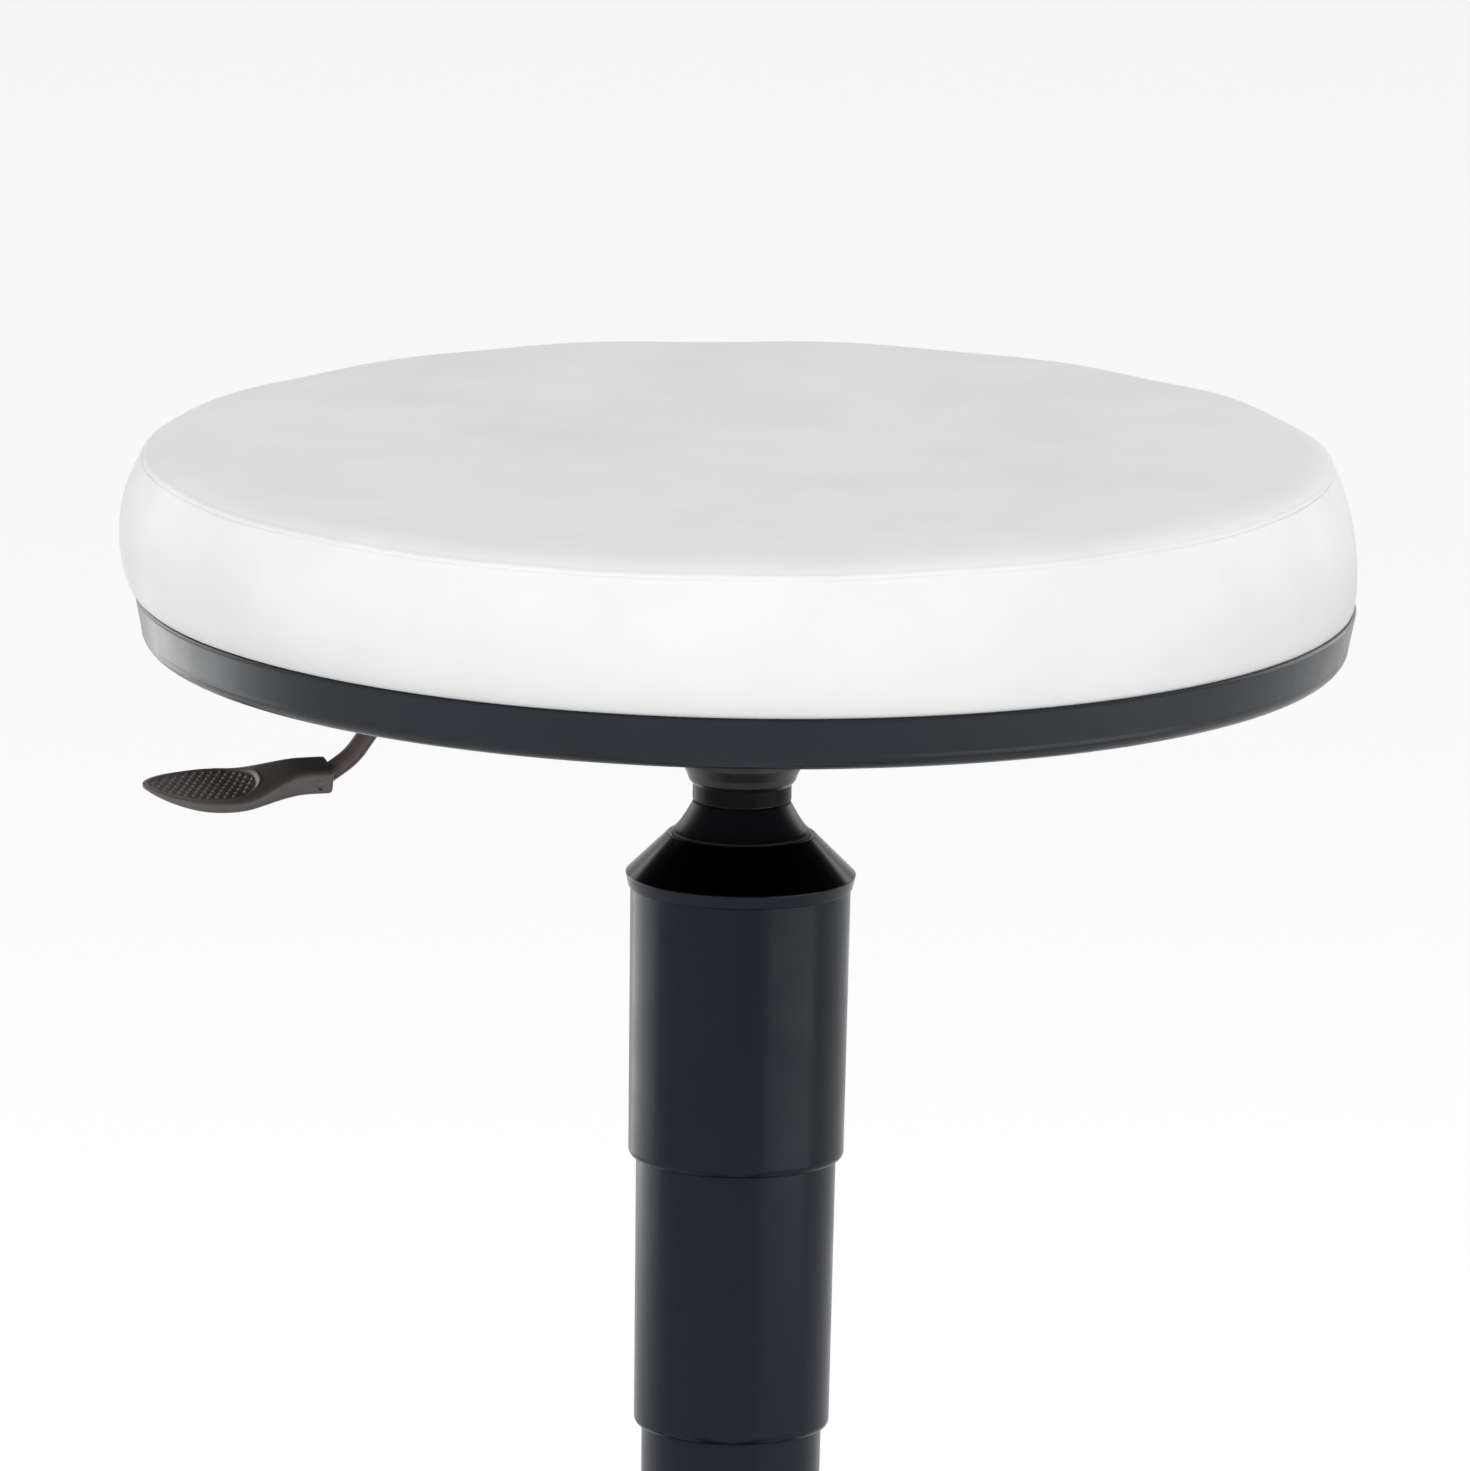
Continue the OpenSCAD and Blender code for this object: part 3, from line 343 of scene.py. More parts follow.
def cover_part(line, sim_rows, sim_at, seed, ridge):
    """The outside of one part of the cover, from its far end to the seam. It follows its line, with the
    cloth's movement, a quarter round at the seam, a raised seam allowance beside it, as a bell curve, and
    gathers that fade away from it. The whole cover is pulled a little to one side: by the root of a sine
    up the band, and by a high power of the radius on the panel, so the crown stays. Its top stands
    a little higher on the right, by a share of the distance from the middle."""
    at, radius, height, out_r, out_z, distance = outline(line)
    away = np.concatenate([np.linspace(distance[0], far_rings_end, far_rings), near_seam[::-1]])
    rows_at = np.interp(-away, -distance, at)
    radius, height, out_r, out_z = (np.interp(-away, -distance, values)[:, None]
                                    for values in (radius, height, out_r, out_z))
    inside = np.clip(1 - away / seam_round, 0, 1)
    allowance = ridge * np.exp(-((away - seam_ridge_away) / seam_ridge_width) ** 2)
    lift = -seam_round * (1 - np.sqrt(1 - inside ** 2)) + allowance
    fade = np.exp(-((away - gather_away) / gather_width) ** 2) * np.clip(away / mm, 0, 1)
    lift = lift[:, None] + seam_pucker * fade[:, None] * seam_waves(seed, columns)[None, :]
    grid = ring_points(radius + lift * out_r, height + lift * out_z, columns)
    if line is band_line:
        kept_share = np.ones_like(rows_at)
        raised = rows_at ** 2
        pull = np.sqrt(np.sin(pull_along_band * np.pi * rows_at))
    else:
        kept_share = np.minimum(1, panel_unevenness_rise * rows_at)
        raised = np.ones_like(rows_at)
        pull = pull_at_seam * rows_at ** pull_fade_power
    grid += spread(sim_rows, sim_at, rows_at) * kept_share[:, None, None]
    grid[..., 2] += side_lean * raised[:, None] * grid[..., 0]
    grid[..., 0] += side_pull * pull[:, None]
    return grid, ring_points(out_r, out_z, columns)


def cloth_shell(name, grid, normal, fold=None):
    """A closed shell of cloth: the outside grid, and an inside that lies one thickness further in.
    A fold adds its under and upper rings at the far end of the grid."""
    rows = [grid, (grid - normal * cloth)[::-1]]
    if fold is None:
        return surface(name, np.concatenate(rows))
    return surface(name, np.concatenate([fold[0]] + rows + [fold[1]]), loop=True)


def material(name, colour, roughness, ior=1.45, metallic=0.0):
    """A new surface finish. Returns the material, its node tree and its main shader."""
    made = bpy.data.materials.new(name)
    made.use_nodes = True
    shader = made.node_tree.nodes["Principled BSDF"]
    shader.inputs["Base Color"].default_value = (*colour, 1.0)
    shader.inputs["Roughness"].default_value = roughness
    shader.inputs["IOR"].default_value = ior
    shader.inputs["Metallic"].default_value = metallic
    return made, made.node_tree, shader


def object_points(tree, scale=(1.0, 1.0, 1.0)):
    """The place on the object in metres, stretched by the scale."""
    coordinate = tree.nodes.new("ShaderNodeTexCoord")
    mapping = tree.nodes.new("ShaderNodeMapping")
    mapping.inputs["Scale"].default_value = scale
    tree.links.new(coordinate.outputs["Object"], mapping.inputs["Vector"])
    return mapping.outputs["Vector"]


def cloudy(tree, points, size, detail=3.0, roughness=0.5):
    """Soft noise whose patches are about the given size in metres."""
    noise = tree.nodes.new("ShaderNodeTexNoise")
    noise.inputs["Scale"].default_value = 1.0 / size
    noise.inputs["Detail"].default_value = detail
    noise.inputs["Roughness"].default_value = roughness
    tree.links.new(points, noise.inputs["Vector"])
    return noise.outputs["Fac"]


def between(tree, factor, low, high, start=0.3, end=0.7):
    """A number that goes from low to high as the factor goes from start to end."""
    scaled = tree.nodes.new("ShaderNodeMapRange")
    scaled.inputs["From Min"].default_value = start
    scaled.inputs["From Max"].default_value = end
    scaled.inputs["To Min"].default_value = low
    scaled.inputs["To Max"].default_value = high
    tree.links.new(factor, scaled.inputs["Value"])
    return scaled.outputs["Result"]


def shades(tree, factor, first, second, start=0.3, end=0.7):
    """A colour that goes from the first to the second as the factor goes from start to end."""
    ramp = tree.nodes.new("ShaderNodeValToRGB")
    ramp.color_ramp.elements[0].position = start
    ramp.color_ramp.elements[0].color = (*first, 1.0)
    ramp.color_ramp.elements[1].position = end
    ramp.color_ramp.elements[1].color = (*second, 1.0)
    tree.links.new(factor, ramp.inputs["Fac"])
    return ramp.outputs["Color"]


def relief(tree, shader, height, depth, strength=1.0, below=None):
    """Raises the surface by the height, times the depth in metres. Reliefs can be stacked."""
    bump = tree.nodes.new("ShaderNodeBump")
    bump.inputs["Strength"].default_value = strength
    bump.inputs["Distance"].default_value = depth
    tree.links.new(height, bump.inputs["Height"])
    if below is not None:
        tree.links.new(below, bump.inputs["Normal"])
    tree.links.new(bump.outputs["Normal"], shader.inputs["Normal"])
    return bump.outputs["Normal"]


band_t = (1 - np.cos(np.pi * np.arange(sim_band_rows) / (sim_band_rows - 1))) / 2
panel_u = np.cos(0.5 * np.pi * np.arange(1, sim_panel_rows) / (sim_panel_rows - sim_middle_gap))
line_r = np.concatenate([band_line(band_t)[0], panel_line(panel_u)[0]])
line_z = np.concatenate([band_line(band_t)[1], panel_line(panel_u)[1]])
rest_grid = ring_points(line_r, line_z, sim_columns)
moved = np.zeros_like(rest_grid)

index = np.arange(rest_grid.shape[0] * sim_columns).reshape(-1, sim_columns)
quads = np.stack([index[:-1], np.roll(index[:-1], -1, 1), np.roll(index[1:], -1, 1), index[1:]], -1)
cover_mesh = bpy.data.meshes.new("cover_start")
cover_mesh.from_pydata(rest_grid.reshape(-1, 3).tolist(), [], quads.reshape(-1, 4).tolist()
                       + [index[-1].tolist(), index[0][::-1].tolist()])
cover = bpy.data.objects.new("cover_start", cover_mesh)
bpy.context.scene.collection.objects.link(cover)
held = cover.vertex_groups.new(name="held")
held.add(index[0].tolist(), 1.0, "REPLACE")
held.add(index[sim_band_rows - 1].tolist(), seam_hold, "REPLACE")
held.add(index[-middle_rings:].reshape(-1).tolist(), middle_hold, "REPLACE")
stretch = cover.modifiers.new("stretch", "CLOTH")
stretch.settings.quality = 6
stretch.settings.mass = 0.4
stretch.settings.tension_stiffness = cloth_stiffness
stretch.settings.compression_stiffness = cloth_stiffness
stretch.settings.bending_stiffness = 2.0
stretch.settings.use_pressure = True
stretch.settings.uniform_pressure_force = cloth_pressure
stretch.settings.vertex_group_mass = "held"
stretch.settings.effector_weights.gravity = 0.0
stretch.point_cache.frame_start = 1
stretch.point_cache.frame_end = cloth_steps
for step in range(1, cloth_steps + 1):
    bpy.context.scene.frame_set(step)
settled = cover.evaluated_get(bpy.context.evaluated_depsgraph_get()).to_mesh()
flat = np.empty(len(settled.vertices) * 3)
settled.vertices.foreach_get("co", flat)
moved = flat.reshape(rest_grid.shape) - rest_grid
round_ring = ring_points(np.ones(len(rest_grid)), np.zeros(len(rest_grid)), sim_columns)
outwards = (moved * round_ring).sum(-1)
uneven = np.stack([outwards, moved[..., 2]], -1)
uneven = uneven - uneven.mean(1, keepdims=True)
far = np.linalg.norm(uneven, axis=-1, keepdims=True)
uneven *= most_unevenness * np.tanh(far / most_unevenness) / np.maximum(far, 1e-9)
to_middle = np.concatenate([np.ones(sim_band_rows), panel_u ** unevenness_power])[:, None]
moved = (uneven[..., :1] * round_ring) * to_middle[..., None]
moved[..., 2] = uneven[..., 1] * to_middle
bpy.data.objects.remove(cover)
bpy.data.meshes.remove(cover_mesh)
bpy.context.scene.frame_set(1)

white_cloth, tree, shader = material("white_coated_cloth", (0.84, 0.84, 0.84), roughness=0.5)
shader.inputs["Specular IOR Level"].default_value = 0.25
points = object_points(tree)
handling = cloudy(tree, points, size=60 * mm, detail=4.0, roughness=0.55)
tree.links.new(shades(tree, handling, (0.80, 0.80, 0.802), (0.86, 0.86, 0.86)),
               shader.inputs["Base Color"])
grain = tree.nodes.new("ShaderNodeTexVoronoi")
grain.inputs["Scale"].default_value = 1.0 / (0.9 * mm)
grain.feature = "F1"
tree.links.new(points, grain.inputs["Vector"])
fine_grain = relief(tree, shader, grain.outputs["Distance"], depth=0.05 * mm, strength=0.35)
relief(tree, shader, cloudy(tree, points, size=7 * mm, detail=2.0), depth=0.12 * mm, strength=0.3,
       below=fine_grain)
tree.links.new(between(tree, cloudy(tree, points, size=25 * mm), low=0.44, high=0.56),
               shader.inputs["Roughness"])

band_grid, band_normal = cover_part(band_line, moved[:sim_band_rows], band_t, seed=3, ridge=0.0)
panel_grid, panel_normal = cover_part(panel_line, moved[sim_band_rows - 1:],
                                      np.concatenate([[1.0], panel_u]), seed=8, ridge=seam_ridge)
fold_r = edge_r - fold_rings
fold_z = np.full(len(fold_rings), edge_z)
fold = (ring_points(fold_r, fold_z, columns), ring_points(fold_r[::-1], fold_z + cloth, columns))

side_band = piece("cushion_side_band", cloth_shell("cushion_side_band", band_grid, band_normal, fold),
                  white_cloth, "seat", sharp_degrees=60.0)
top_panel = piece("cushion_top_panel", cloth_shell("cushion_top_panel", panel_grid, panel_normal),
                  white_cloth, "seat", sharp_degrees=60.0)
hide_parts("side_band")
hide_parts("top_panel")


# Foam. One moulded block of cream polyurethane foam fills the cover.
# A pocket in its underside takes the board.
foam_gap = 0.3 * mm
board_low, board_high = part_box("seat_board")
pocket_r = board_high[0] + 0.15 * mm
pocket_foot = board_low[2] + 0.3 * mm

cream_foam, tree, shader = material("cream_foam", (0.83, 0.76, 0.55), roughness=0.85)
points = object_points(tree)
cells = tree.nodes.new("ShaderNodeTexVoronoi")
cells.inputs["Scale"].default_value = 1.0 / (1.1 * mm)
tree.links.new(points, cells.inputs["Vector"])
relief(tree, shader, cells.outputs["Distance"], depth=0.3 * mm, strength=0.6)
tree.links.new(shades(tree, cloudy(tree, points, size=30 * mm), (0.80, 0.72, 0.50), (0.86, 0.80, 0.61)),
               shader.inputs["Base Color"])

foam_side = (band_grid - band_normal * (cloth + foam_gap))[1::2, ::2]
foam_top = (panel_grid - panel_normal * (cloth + foam_gap))[::-2, ::2]
pocket = ring_points(np.array([0.0, pocket_r, pocket_r]),
                     np.array([board_high[2], board_high[2], pocket_foot]), columns // 2)
foam = piece("cushion_foam", surface("cushion_foam", np.concatenate([pocket, foam_side, foam_top])),
             cream_foam, "seat", sharp_degrees=50.0)
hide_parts("foam_pad")


# Seat board. Birch plywood, nine plies pressed and turned round, with a steel nut driven into
# each bolt hole.
ply = 1.35 * mm
grain_stretch = 14.0


def finish(finish_material, *names):
    """Gives CAD solids their finish."""
    for name in names:
        cad_nodes[name].material_slots[0].material = finish_material


def metal(name, colour, roughness):
    """Bare or plated metal, with faint cloudy patches in its colour and gloss."""
    made, tree, shader = material(name, colour, roughness, metallic=1.0)
    points = object_points(tree)
    patches = cloudy(tree, points, size=5 * mm, detail=4.0, roughness=0.6)
    darker = tuple(0.8 * c for c in colour)
    tree.links.new(shades(tree, patches, darker, colour), shader.inputs["Base Color"])
    tree.links.new(between(tree, patches, low=roughness - 0.08, high=roughness + 0.1),
                   shader.inputs["Roughness"])
    relief(tree, shader, cloudy(tree, points, size=0.6 * mm, detail=2.0), depth=0.02 * mm, strength=0.3)
    return made


birch_plywood, tree, shader = material("birch_plywood", (0.62, 0.45, 0.27), roughness=0.62)
split = tree.nodes.new("ShaderNodeSeparateXYZ")
tree.links.new(object_points(tree), split.inputs[0])
layer = tree.nodes.new("ShaderNodeMath")
layer.operation = "MULTIPLY_ADD"
layer.inputs[1].default_value = 0.5 / ply
layer.inputs[2].default_value = -0.5 * board_low[2] / ply
tree.links.new(split.outputs["Z"], layer.inputs[0])
part_of_pair = tree.nodes.new("ShaderNodeMath")
part_of_pair.operation = "FRACT"
tree.links.new(layer.outputs[0], part_of_pair.inputs[0])
crossing = tree.nodes.new("ShaderNodeMath")
crossing.operation = "GREATER_THAN"
crossing.inputs[1].default_value = 0.5
tree.links.new(part_of_pair.outputs[0], crossing.inputs[0])
long_grain = cloudy(tree, object_points(tree, (1.0, grain_stretch, grain_stretch)),
                    size=40 * mm, detail=6.0, roughness=0.6)
cross_grain = cloudy(tree, object_points(tree, (grain_stretch, 1.0, grain_stretch)),
                     size=40 * mm, detail=6.0, roughness=0.6)
grain_way = tree.nodes.new("ShaderNodeMix")
grain_way.data_type = "FLOAT"
tree.links.new(crossing.outputs[0], grain_way.inputs[0])
tree.links.new(long_grain, grain_way.inputs[2])
tree.links.new(cross_grain, grain_way.inputs[3])
light_ply = shades(tree, grain_way.outputs[0], (0.52, 0.36, 0.20), (0.70, 0.53, 0.33))
dark_ply = shades(tree, grain_way.outputs[0], (0.36, 0.23, 0.12), (0.55, 0.38, 0.22))
plies = tree.nodes.new("ShaderNodeMix")
plies.data_type = "RGBA"
tree.links.new(crossing.outputs[0], plies.inputs[0])
tree.links.new(light_ply, plies.inputs[6])
tree.links.new(dark_ply, plies.inputs[7])
tree.links.new(plies.outputs[2], shader.inputs["Base Color"])
relief(tree, shader, grain_way.outputs[0], depth=0.1 * mm, strength=0.4)

zinc_steel = metal("zinc_plated_steel", (0.62, 0.63, 0.65), roughness=0.32)
finish(birch_plywood, "seat_board")
finish(zinc_steel, "tee_nuts")


# Seat pan. A shallow dish injection moulded in blue-black plastic, with ribs, bosses and a flat rim,
# screwed up into the board.
pan_colour = (0.004, 0.007, 0.011)


def moulded(name, colour, roughness, ior, texture, depth, worn=0.0):
    """Moulded plastic or smooth enamel: faint clouds in its colour and gloss, and a fine texture, of
    a size and a depth in metres. Worn lifts the gloss in broad patches, as handling does."""
    made, tree, shader = material(name, colour, roughness, ior)
    points = object_points(tree)
    clouds = cloudy(tree, points, size=45 * mm, detail=3.0, roughness=0.5)
    lighter = tuple(1.25 * c for c in colour)
    tree.links.new(shades(tree, clouds, colour, lighter), shader.inputs["Base Color"])
    patches = cloudy(tree, points, size=18 * mm, detail=4.0)
    tree.links.new(between(tree, patches, low=roughness - worn, high=roughness + 0.04),
                   shader.inputs["Roughness"])
    fine = relief(tree, shader, cloudy(tree, points, size=texture, detail=2.0, roughness=0.6), depth,
                  strength=0.5)
    relief(tree, shader, cloudy(tree, points, size=30 * texture, detail=2.0), 2 * depth, strength=0.25,
           below=fine)
    return made


pan_plastic = moulded("blue_black_pan_plastic", pan_colour, roughness=0.27, ior=1.36,
                      texture=0.35 * mm, depth=0.012 * mm, worn=0.04)
finish(pan_plastic, "seat_pan")
finish(zinc_steel, "pan_screws")


# Mounting plate, lever channel and taper hub. Pressed and welded steel with a black powder coat,
# held to the board by four bolts. The narrow foot of the hub has painted shade: a deeper black that
# reflects less.
coat_colour = (0.005, 0.005, 0.0058)
hub_neck_painted_shade = (0.0008, 0.0008, 0.0009)
hub_neck_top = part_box("taper_hub")[0][2] + 4.7 * mm


def powder_coat(name, colour, roughness):
    """Powder coat on steel: a soft gloss with the fine orange peel of baked paint."""
    made, tree, shader = material(name, colour, roughness, ior=1.42)
    points = object_points(tree)
    peel = cloudy(tree, points, size=1.6 * mm, detail=2.0, roughness=0.4)
    relief(tree, shader, peel, depth=0.05 * mm, strength=0.35)
    dust = cloudy(tree, points, size=14 * mm, detail=5.0, roughness=0.6)
    tree.links.new(shades(tree, dust, colour, tuple(c + 0.006 for c in colour), start=0.4, end=0.75),
                   shader.inputs["Base Color"])
    tree.links.new(between(tree, dust, low=roughness - 0.05, high=roughness + 0.1),
                   shader.inputs["Roughness"])
    return made


def below_height(made, height, colour, ior):
    """Gives a finish another colour and another strength of reflection below a height."""
    tree = made.node_tree
    shader = tree.nodes["Principled BSDF"]
    place_of = tree.nodes.new("ShaderNodeSeparateXYZ")
    tree.links.new(object_points(tree), place_of.inputs[0])
    below = tree.nodes.new("ShaderNodeMath")
    below.operation = "LESS_THAN"
    below.inputs[1].default_value = height
    tree.links.new(place_of.outputs["Z"], below.inputs[0])
    either_colour = tree.nodes.new("ShaderNodeMix")
    either_colour.data_type = "RGBA"
    tree.links.new(below.outputs[0], either_colour.inputs[0])
    tree.links.new(shader.inputs["Base Color"].links[0].from_socket, either_colour.inputs[6])
    either_colour.inputs[7].default_value = (*colour, 1.0)
    tree.links.new(either_colour.outputs[2], shader.inputs["Base Color"])
    ior_above = shader.inputs["IOR"].default_value
    tree.links.new(between(tree, below.outputs[0], low=ior_above, high=ior), shader.inputs["IOR"])


black_coat = powder_coat("black_powder_coat", coat_colour, roughness=0.30)
hub_coat_painted_shade = powder_coat("hub_powder_coat_painted_shade", coat_colour, roughness=0.30)
# Painted shade: below the neck's top the hub's foot is painted a deeper black that reflects less.
below_height(hub_coat_painted_shade, hub_neck_top, hub_neck_painted_shade, ior=1.17)
finish(black_coat, "mount_plate", "lever_channel")
finish(hub_coat_painted_shade, "taper_hub")
finish(zinc_steel, "plate_bolts")


# Release lever. A bent steel rod with a small steel block welded under it, turning on a rivet
# through the channel. Both have a brown-grey coat.
brown_coat = powder_coat("brown_grey_coat", (0.085, 0.066, 0.064), roughness=0.42)
finish(brown_coat, "lever_rod", "pivot_block")
finish(zinc_steel, "pivot_pin")


# Lever paddle. Warm grey plastic moulded over the rod's end, with a small screw in a shallow hole.
# A socket widens into a dished grip, with a sunk pad of raised dots inside a thin ridge. Sizes are in
# millimetres, and a span is a start and a length, as shares of the paddle's length.
paddle_length = 58.6
paddle_half_width = 14.0
paddle_out = 131.5
paddle_below_pan = 36.4
paddle_roll = math.radians(-11.0)
lever_turn = math.radians(195.0)
socket_half_width = 7.0
socket_end_round = 1.2
socket_top = 4.8
socket_low = -3.3
widening_span = (0.13, 0.44)
tip_span = (0.63, 0.37)
tip_power = 1.7
step_down = 4.3
step_span = (0.14, 0.38)
belly = 2.4
belly_span = (0.1, 0.4)
tip_lift = 5.1
tip_lift_span = (0.55, 0.45)
tip_lift_power = 1.9
droop_depth = 1.3
end_rise = 0.9
end_rise_span = (0.7, 0.3)
droop_power = 1.5
socket_squareness = 0.38
grip_squareness = 0.24
square_span = (0.1, 0.35)
dish_depth = 0.8
dish_span = (0.35, 0.2)
dish_half_width = 12.0
pad_middle = 39.6
pad_half_length = 17.0
pad_half_width = 12.2
pad_power = 2.4
pad_edge_scale = 13.0
pad_margin = 2.3
pad_depth = 0.5
pad_slope = 0.7
ridge_height = 0.24
ridge_width = 0.4
ridge_out = 0.35
dot_step = 2.65
dot_row_step = 2.4
dot_radius = 0.82
dot_height = 0.62
dot_power = 0.7
dot_fade = 0.5
pattern_fade = 0.6
screw_along = 4.0
screw_side = 0.8 * socket_half_width
screw_hole_radius = 1.45
screw_hole_slope = 0.3
screw_hole_depth = 0.9


def share(t, start, length):
    """How far t has come along a span: zero before its start, one past its end."""
    return np.clip((t - start) / length, 0, 1)


def smooth_step(t, start, length):
    """Zero before a span, one past it, and between them three squares less two cubes of the share."""
    t = share(t, start, length)
    return t * t * (3 - 2 * t)


def paddle_section(s):
    """Half width, top and underside in millimetres, at a share s of the paddle's length. The width grows
    from socket to grip and ends in a blunt superellipse. The top steps down from socket to grip, the
    underside swells and then rises to the tip, and both droop by a power of s."""
    half = socket_half_width + (paddle_half_width - socket_half_width) * smooth_step(s, *widening_span)
    half = half * (1 - share(s, *tip_span) ** tip_power) ** (1 / tip_power)
    droop = droop_depth * s ** droop_power - end_rise * share(s, *end_rise_span) ** droop_power
    top = socket_top - step_down * smooth_step(s, *step_span) - droop
    low = (socket_low - belly * smooth_step(s, *belly_span)
           + tip_lift * share(s, *tip_lift_span) ** tip_lift_power - droop)
    start = np.clip(socket_end_round - paddle_length * s, 0, None)
    inset = socket_end_round - np.sqrt(socket_end_round ** 2 - start ** 2)
    return half - inset, top - inset, low + inset


def pad_relief(x, y, half):
    """Height of the pad's pattern over the top face: a sunk superellipse that keeps a margin to the
    outline, a ridge along its border, and domed dots in rows, each row shifted by half a step."""
    oval = (np.abs((x - pad_middle) / pad_half_length) ** pad_power
            + np.abs(y / pad_half_width) ** pad_power) ** (1 / pad_power)
    inside = np.minimum(half - pad_margin - np.abs(y), pad_edge_scale * (1 - oval))
    sunk = -pad_depth * smooth_step(inside, 0.0, pad_slope)
    ridge = ridge_height * np.exp(-((inside + ridge_out) / ridge_width) ** 2)
    row_number = np.round(y / dot_row_step)
    along = x / dot_step + 0.5 * (row_number % 2)
    away = np.hypot((along - np.round(along)) * dot_step, y - row_number * dot_row_step)
    dome = np.clip(1 - (away / dot_radius) ** 2, 0, 1) ** dot_power
    return sunk + ridge + dot_height * dome * smooth_step(inside, pad_slope, dot_fade)


def bulge(c, squareness):
    """Height of a rounded section at a share c of its half width: one in the middle and zero at the
    edges, on a superellipse."""
    return (1 - np.abs(c) ** (2 / squareness)) ** (squareness / 2)


end_rows = socket_end_round / paddle_length * np.linspace(0, 1, 7) ** 2
socket_rows = np.linspace(0.03, 0.36, 46)
grip_rows = np.linspace(0.365, 0.965, 190)
tip_rows = 1 - 0.034 * np.linspace(1, 0, 18) ** 2
s = np.concatenate([[0.0], end_rows, socket_rows, grip_rows, tip_rows])[:, None]
edge_columns = 1 - 0.05 * np.linspace(0, 1, 9) ** 2
top_columns = np.linspace(0.942, -0.942, 118)
c_top = np.concatenate([edge_columns, top_columns, -edge_columns[::-1]])[None, :]
c_low = np.sin(np.linspace(-0.5 * np.pi, 0.5 * np.pi, 46))[None, 1:-1]

half, top, low = paddle_section(s)
middle = (top + low) / 2
thick = (top - low) / 2
squareness = socket_squareness + grip_squareness * smooth_step(s, *square_span)
bulge_top = bulge(c_top, squareness)
dish = dish_depth * smooth_step(s, *dish_span) * np.minimum(half / dish_half_width, 1)
z_top = middle + thick * bulge_top - dish * (1 - c_top ** 2)
z_top += pad_relief(paddle_length * s, half * c_top, half) * smooth_step(bulge_top, 0.0, pattern_fade)
across = np.concatenate([half * c_top, half * c_low], 1)
rise = np.concatenate([z_top, middle - thick * bulge(c_low, squareness)], 1)
along = np.broadcast_to(paddle_length * s, across.shape)
to_screw = np.hypot(along - screw_along, rise)
hole = screw_hole_depth * share(screw_hole_radius - to_screw, 0.0, screw_hole_slope)
across = np.where(across > screw_side, across - hole, across)
across[[0, -1]] = 0.0
rise[[0, -1]] = middle[[0, -1]]
rolled_y = across * math.cos(paddle_roll) - rise * math.sin(paddle_roll)
rolled_z = across * math.sin(paddle_roll) + rise * math.cos(paddle_roll)
out = paddle_out + along
paddle_grid = np.stack([out * math.cos(lever_turn) - rolled_y * math.sin(lever_turn),
                        out * math.sin(lever_turn) + rolled_y * math.cos(lever_turn),
                        pan_low[2] / mm - paddle_below_pan + rolled_z], -1) * mm

paddle_plastic = moulded("warm_grey_paddle_plastic", (0.105, 0.088, 0.086), roughness=0.42, ior=1.45,
                         texture=0.3 * mm, depth=0.02 * mm, worn=0.06)
paddle = piece("lever_paddle_moulding", surface("lever_paddle_moulding", paddle_grid),
               paddle_plastic, "lever", sharp_degrees=50.0)
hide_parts("lever_paddle")
dark_screw = metal("blackened_screw", (0.13, 0.12, 0.12), roughness=0.45)
finish(dark_screw, "paddle_screw")


# Gas lift. A painted steel cylinder with a taper at its head for the hub, and a valve pin in it.
# Inside are the chromed piston rod, its guide and piston.
chrome = metal("hard_chrome", (0.74, 0.74, 0.75), roughness=0.12)
black_enamel = moulded("gloss_black_enamel", (0.0006, 0.0006, 0.0007), roughness=0.2, ior=1.22,
                       texture=1.2 * mm, depth=0.01 * mm, worn=0.04)
finish(black_enamel, "lift_cylinder")
finish(zinc_steel, "release_pin", "cylinder_end_guide", "piston")
finish(chrome, "piston_rod")


# Rod's foot. A ball bearing between two hardened washers lets the seat turn, a rubber buffer
# softens the stop, and a clip holds the rod in the stand tube.
ball_steel = metal("polished_bearing_steel", (0.66, 0.67, 0.69), roughness=0.14)
black_rubber = moulded("black_rubber", (0.014, 0.014, 0.014), roughness=0.65, ior=1.5,
                       texture=0.5 * mm, depth=0.03 * mm)
finish(ball_steel, "bearing_balls", "upper_race", "lower_race")
finish(zinc_steel, "rod_clip")
finish(black_rubber, "rubber_buffer")


# Stand tube. Drawn steel tube with a black coat, tapered at its foot to wedge in the base,
# with a white acetal bush in its head that guides the cylinder.
white_acetal = moulded("white_acetal", (0.72, 0.72, 0.70), roughness=0.34, ior=1.48,
                       texture=0.4 * mm, depth=0.008 * mm)
finish(black_coat, "stand_tube")
finish(white_acetal, "guide_bush")
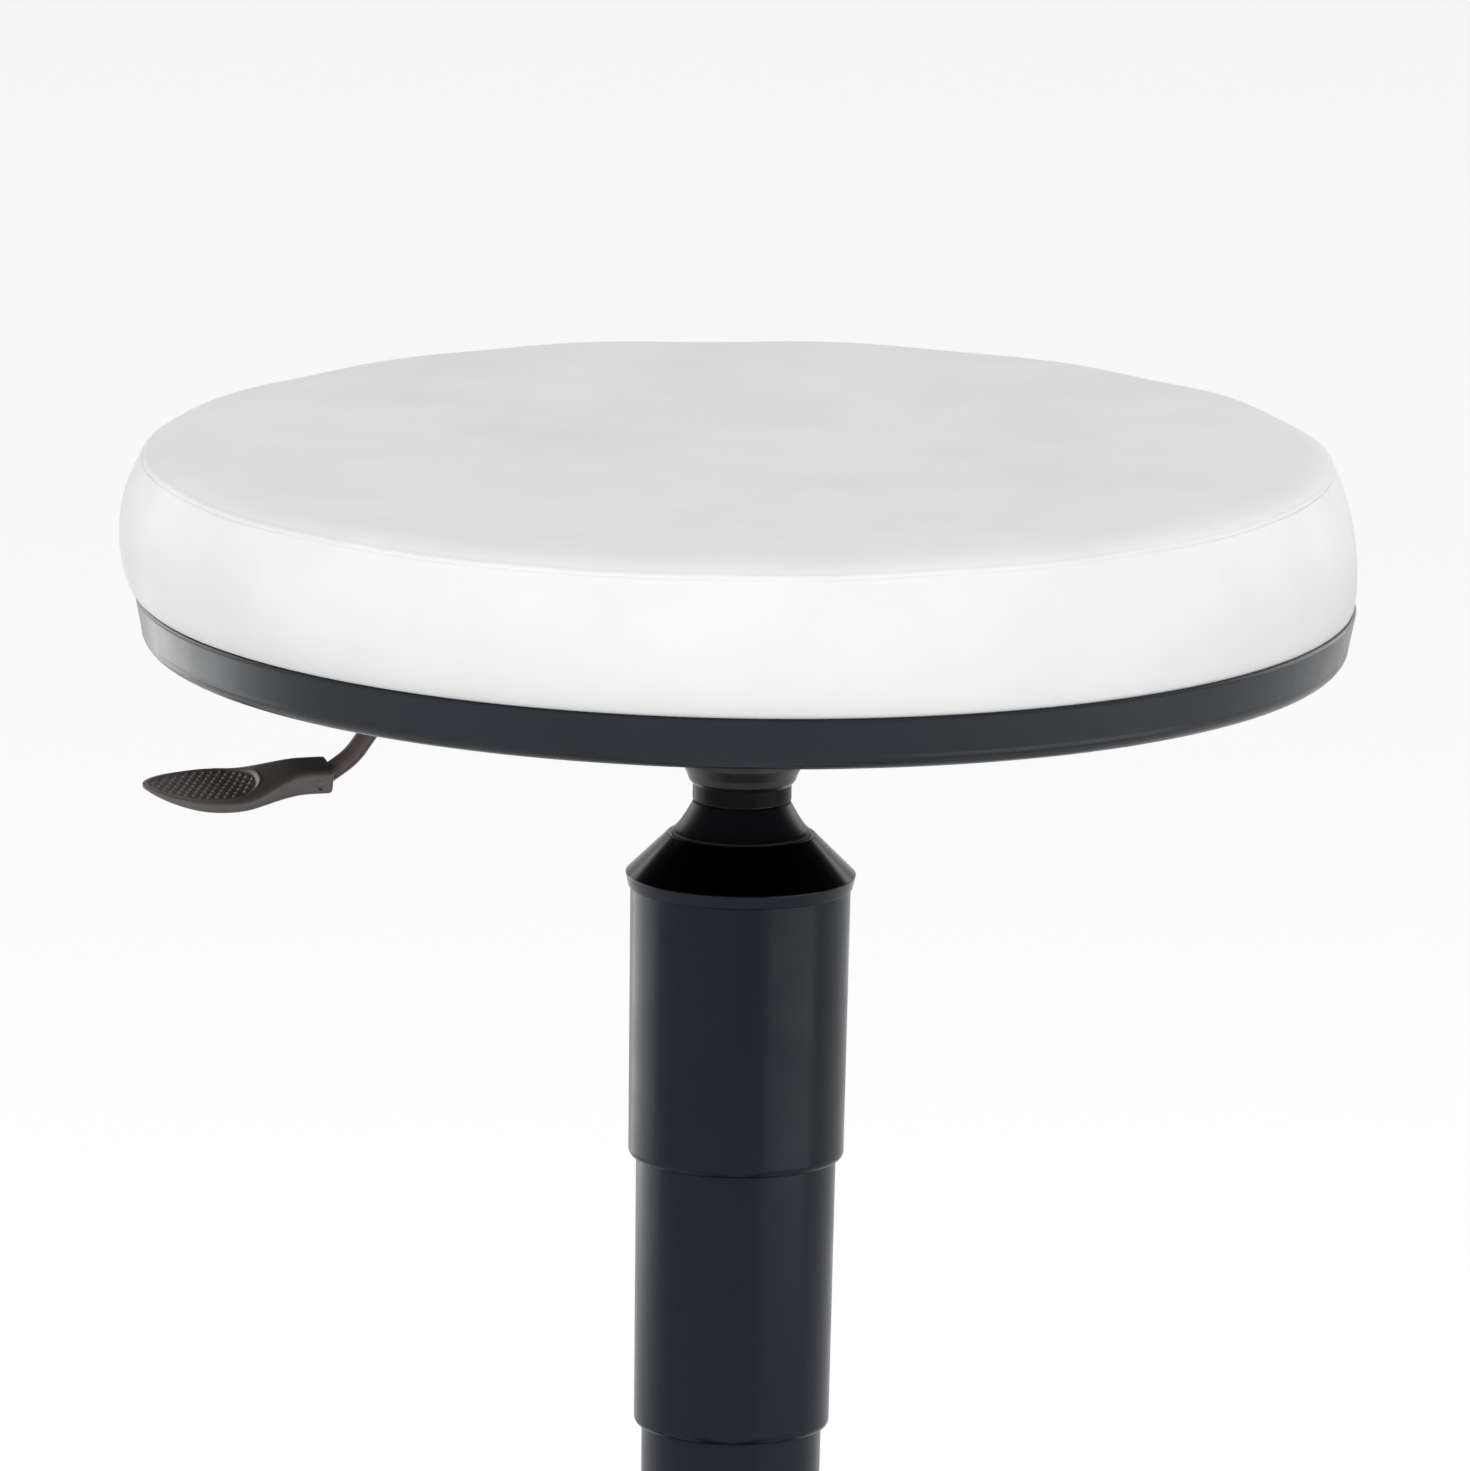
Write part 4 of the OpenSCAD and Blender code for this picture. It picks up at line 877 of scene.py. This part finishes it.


# Telescopic cover. Three thin moulded tubes in blue-black plastic that hang in each other by their
# lips, closed by a glossy black cone and a collar that grips the cylinder. The cone's lip has painted
# light: a lighter blue-black than the cone and a stronger reflection, so it looks as lit as the tubes.
cap_lip_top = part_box("cover_cap")[0][2] + 10.2 * mm
cap_lip_painted_light = (0.0060, 0.0095, 0.0165)

tube_plastic = moulded("blue_black_tube_plastic", (0.0035, 0.0065, 0.0125), roughness=0.25, ior=1.25,
                       texture=0.4 * mm, depth=0.01 * mm, worn=0.04)
cap_plastic_painted_lip = moulded("gloss_black_plastic_painted_lip", (0.0004, 0.0004, 0.0005), roughness=0.18, ior=1.16,
                      texture=0.5 * mm, depth=0.006 * mm, worn=0.03)
collar_plastic = moulded("satin_black_plastic", (0.006, 0.0065, 0.0075), roughness=0.3, ior=1.18,
                         texture=0.5 * mm, depth=0.01 * mm, worn=0.05)
# Painted light: below the lip's top the cap is painted a lighter blue-black and reflects more.
below_height(cap_plastic_painted_lip, cap_lip_top, cap_lip_painted_light, ior=1.26)
finish(tube_plastic, "cover_tube_top", "cover_tube_middle", "cover_tube_bottom")
finish(cap_plastic_painted_lip, "cover_cap")
finish(collar_plastic, "cap_collar")


# Base. Five hollow ribbed arms moulded in one piece of black glass-filled nylon, with a steel
# sleeve in the hub and a steel socket in each arm's end.
base_nylon = moulded("black_glass_nylon", (0.016, 0.016, 0.0175), roughness=0.46, ior=1.5,
                     texture=0.5 * mm, depth=0.03 * mm, worn=0.08)
finish(base_nylon, "star_base")
finish(zinc_steel, "hub_sleeve", "castor_sockets")


# Castors. Each has a steel stem, a nylon housing with a hood, an axle and two nylon wheels
# with soft treads.
castor_count = 5

castor_nylon = moulded("black_castor_nylon", (0.013, 0.013, 0.014), roughness=0.38, ior=1.5,
                       texture=0.4 * mm, depth=0.015 * mm, worn=0.08)
wheel_nylon = moulded("soft_black_tread", (0.020, 0.020, 0.021), roughness=0.5, ior=1.5,
                      texture=0.5 * mm, depth=0.03 * mm, worn=0.08)
finish(zinc_steel, "castor_stems")
for number in range(1, castor_count + 1):
    finish(castor_nylon, f"castor_{number}_housing")
    finish(zinc_steel, f"castor_{number}_axle")
    finish(wheel_nylon, f"castor_{number}_wheel_left", f"castor_{number}_wheel_right")
